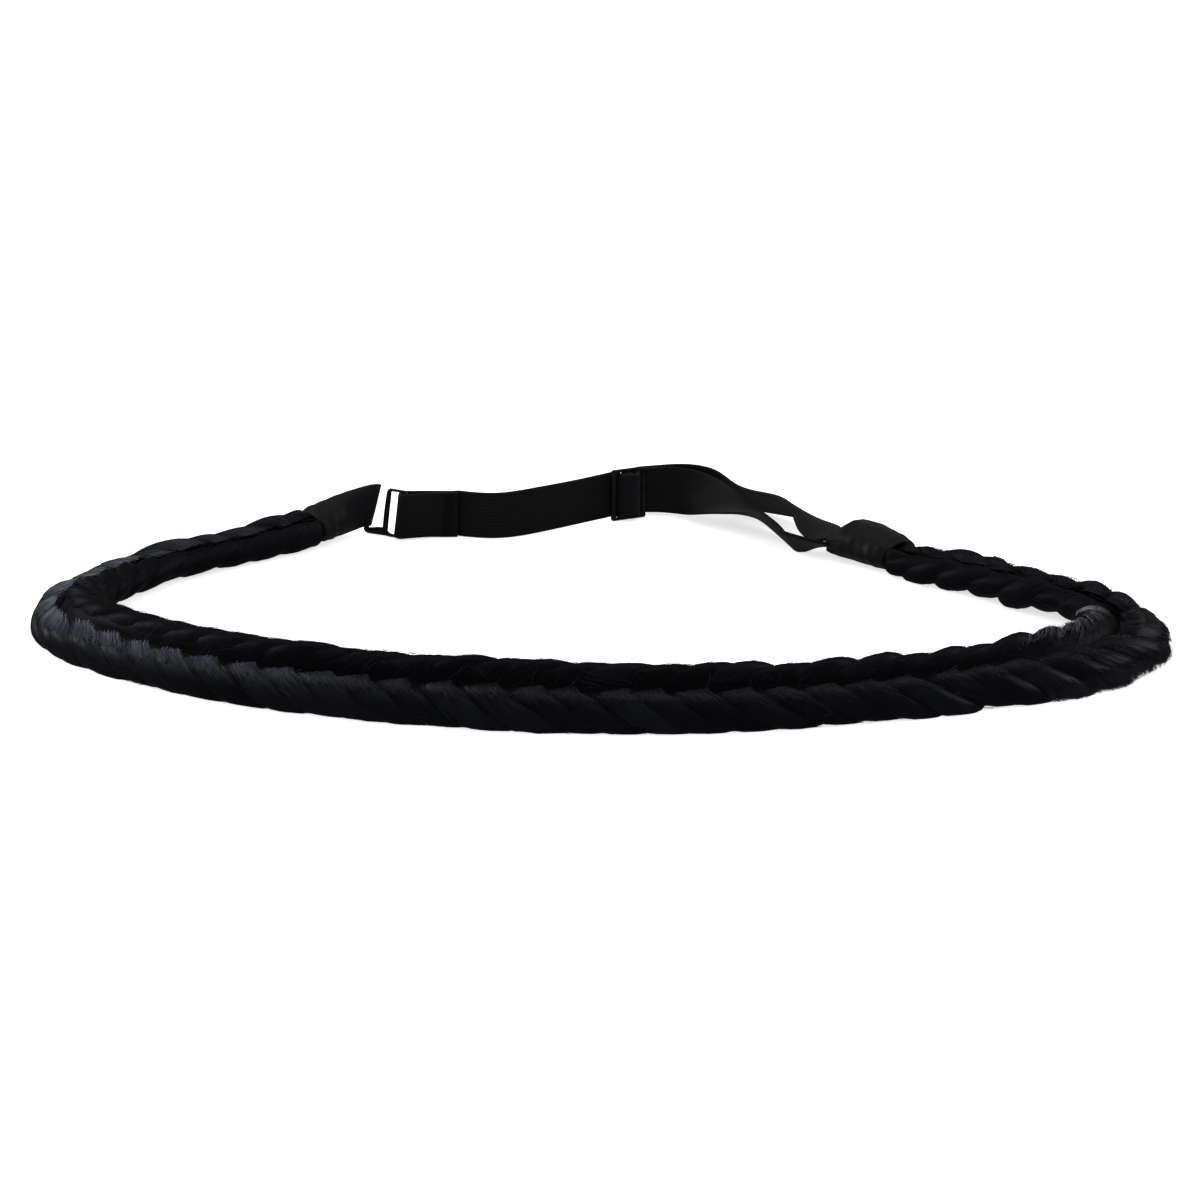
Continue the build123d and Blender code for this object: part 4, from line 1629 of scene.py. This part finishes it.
@dataclass
class Studio:
    """The pale floor, soft lamps and the camera at the photograph's angle.

    The lamps' rows are a name, a place in metres, a diameter and a power in watts.
    """

    elevation: float = 18.5
    distance: float = 800.0
    lens: float = 124.8
    aim_height: float = 4.0
    shift: Span = (-1 / 1200, 12 / 1200)
    ambient: float = 0.9
    sheen: float = 0.10
    floor_sheen: float = 0.12
    glow: float = 0.68
    reach: float = 6.0
    lamps: tuple[tuple[str, Row3, float, float], ...] = (
        ("top", (0.05, 0.15, 0.9), 0.6, 1.4),
        ("left", (-0.75, 0.25, 0.40), 0.30, 2.4),
        ("right", (0.8, 0.3, 0.40), 0.30, 1.6),
    )

    def floor_paint(self) -> Material:
        """Pale paint that glows a little to the camera and is dim in reflections.

        Returns:
            The material.
        """
        paint = bpy.data.materials.new("pale floor")
        paint.use_nodes = True
        wire = Shade(paint.node_tree)
        nodes = paint.node_tree.nodes
        path = wire.add("ShaderNodeLightPath").outputs
        inputs = {
            "Base Color": (0.86, 0.86, 0.86, 1),
            "Roughness": 0.8,
            "Specular IOR Level": 0.1,
            "Emission Color": (1, 1, 1, 1),
            "Emission Strength": wire.maths("MULTIPLY", path["Is Camera Ray"], self.glow),
        }
        shader = nodes["Principled BSDF"]
        wire.fill(shader, inputs)
        dull = wire.add("ShaderNodeEmission", {"Strength": self.floor_sheen})
        parts = {0: path["Is Glossy Ray"], 1: shader.outputs[0], 2: dull.outputs[0]}
        mixed = wire.add("ShaderNodeMixShader", parts).outputs[0]
        wire.fill(nodes["Material Output"], {"Surface": mixed})
        return paint

    def floor(self) -> None:
        """A wide floor just under the object."""
        mesh = bpy.data.meshes.new("floor")
        corners = [(x * self.reach, y * self.reach, 0) for x, y in ((-1, -1), (1, -1), (1, 1), (-1, 1))]
        mesh.from_pydata(corners, [], [(0, 1, 2, 3)])
        mesh.materials.append(self.floor_paint())
        ground = bpy.data.objects.new("floor", mesh)
        bpy.context.scene.collection.objects.link(ground)

    def lights(self) -> None:
        """A bright world, dimmer in reflections, and soft lamps above, at the left and at the right."""
        world = bpy.data.worlds.new("studio")
        bpy.context.scene.world = world
        world.use_nodes = True
        wire = Shade(world.node_tree)
        path = wire.add("ShaderNodeLightPath").outputs
        seen = wire.maths("MULTIPLY_ADD", path["Is Camera Ray"], 1.0 - self.ambient, self.ambient)
        dimmed = wire.maths("MULTIPLY", path["Is Glossy Ray"], self.sheen - self.ambient)
        strength = wire.maths("ADD", seen, dimmed)
        wire.fill(world.node_tree.nodes["Background"], {0: (1, 1, 1, 1), 1: strength})
        for name, place, size, power in self.lamps:
            data = bpy.data.lights.new(name, "AREA")
            data.shape = "DISK"
            data.size = size
            data.energy = power
            lamp = bpy.data.objects.new(name, data)
            lamp.location = place
            lamp.rotation_euler = (-Vector(place)).to_track_quat("-Z", "Y").to_euler()
            bpy.context.scene.collection.objects.link(lamp)

    def camera(self, seat: Array) -> None:
        """The camera, placed on a line through the aim point at the photograph's elevation.

        Args:
            seat: the frame's shift of the object's own axes.
        """
        aim = (UP * self.aim_height + seat) * MM
        tilt = math.radians(self.elevation)
        ahead = Vector((0, math.cos(tilt), -math.sin(tilt)))
        data = bpy.data.cameras.new("camera")
        data.lens = self.lens
        data.sensor_width = 36
        data.sensor_fit = "HORIZONTAL"
        data.shift_x, data.shift_y = self.shift
        data.clip_start, data.clip_end = 0.01, 50
        camera = bpy.data.objects.new("camera", data)
        camera.location = Vector(aim) - ahead * (self.distance * MM)
        camera.rotation_euler = ahead.to_track_quat("-Z", "Y").to_euler()
        bpy.context.scene.collection.objects.link(camera)
        bpy.context.scene.camera = camera

    def build(self, seat: Array) -> None:
        """All of the studio.

        Args:
            seat: the frame's shift of the object's own axes.
        """
        self.floor()
        self.lights()
        self.camera(seat)
        bpy.context.scene.view_settings.view_transform = "Standard"


def main() -> None:
    """Builds the headband, piece by piece, and the studio."""
    logging.basicConfig(level=logging.INFO, format="%(message)s")
    groups = Groups(strand_group(), weave_group(), drift_group())
    route = BraidRoute()
    elastic = Elastic(route)
    low, high = (np.array(corner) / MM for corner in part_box("slider"))
    heart = np.array([elastic.slider_x * route.half_width, elastic.slider_y * route.half_depth, 0])
    route.seat = np.append(((low + high) / 2 - heart)[:2], 0.0)
    log.info("seat %s", route.seat.round(3))

    strand = {"along": 1.0, "across": 1.0}
    # Painted highlight: the stray strands' light colour, far paler than the black hair, stands for light
    # glinting on them.
    stray_dark, stray_glint = (0.004, 0.004, 0.005), (0.17, 0.19, 0.23)
    finishes = (
        HairFinish("black hair"),
        HairFinish("shaded hair", gloss=0.07, roughness=(0.40, 0.60)),
        HairFinish("stray hair", dark=stray_dark, light=stray_glint, gloss=0.22, even=0.85, **strand),
        # Painted highlight: the tufts' light colour is near white, for the light that they catch.
        HairFinish("bright hair", light=(0.42, 0.45, 0.50), gloss=0.3, even=0.9, **strand),
    )
    hair, shaded, stray, bright = (finish.build(groups) for finish in finishes)
    cloth = ClothFinish("sleeve cloth", ribs=2200.0, rows=2200.0, depth=0.00005).build(groups)
    webbing = ClothFinish("elastic webbing").build(groups)
    lacquer = LacquerFinish("black lacquer").build(groups)

    right = Sleeve("right_cover", RIGHT_SECTIONS, length=16.0, from_end=False, seed=0.7)
    left = Sleeve("left_cover", LEFT_SECTIONS, length=15.0, from_end=True, seed=2.1, folded=True, slant=15.0)
    Braid(route, (right, left)).build(hair, shaded, stray, bright)
    right.build(route, cloth, "right_sleeve")
    left.build(route, cloth, "left_sleeve")
    elastic.build(webbing)
    Hook(elastic).build(lacquer)
    dress_node("slider", lacquer)
    Studio().build(route.seat)


if __name__ == "__main__":
    main()
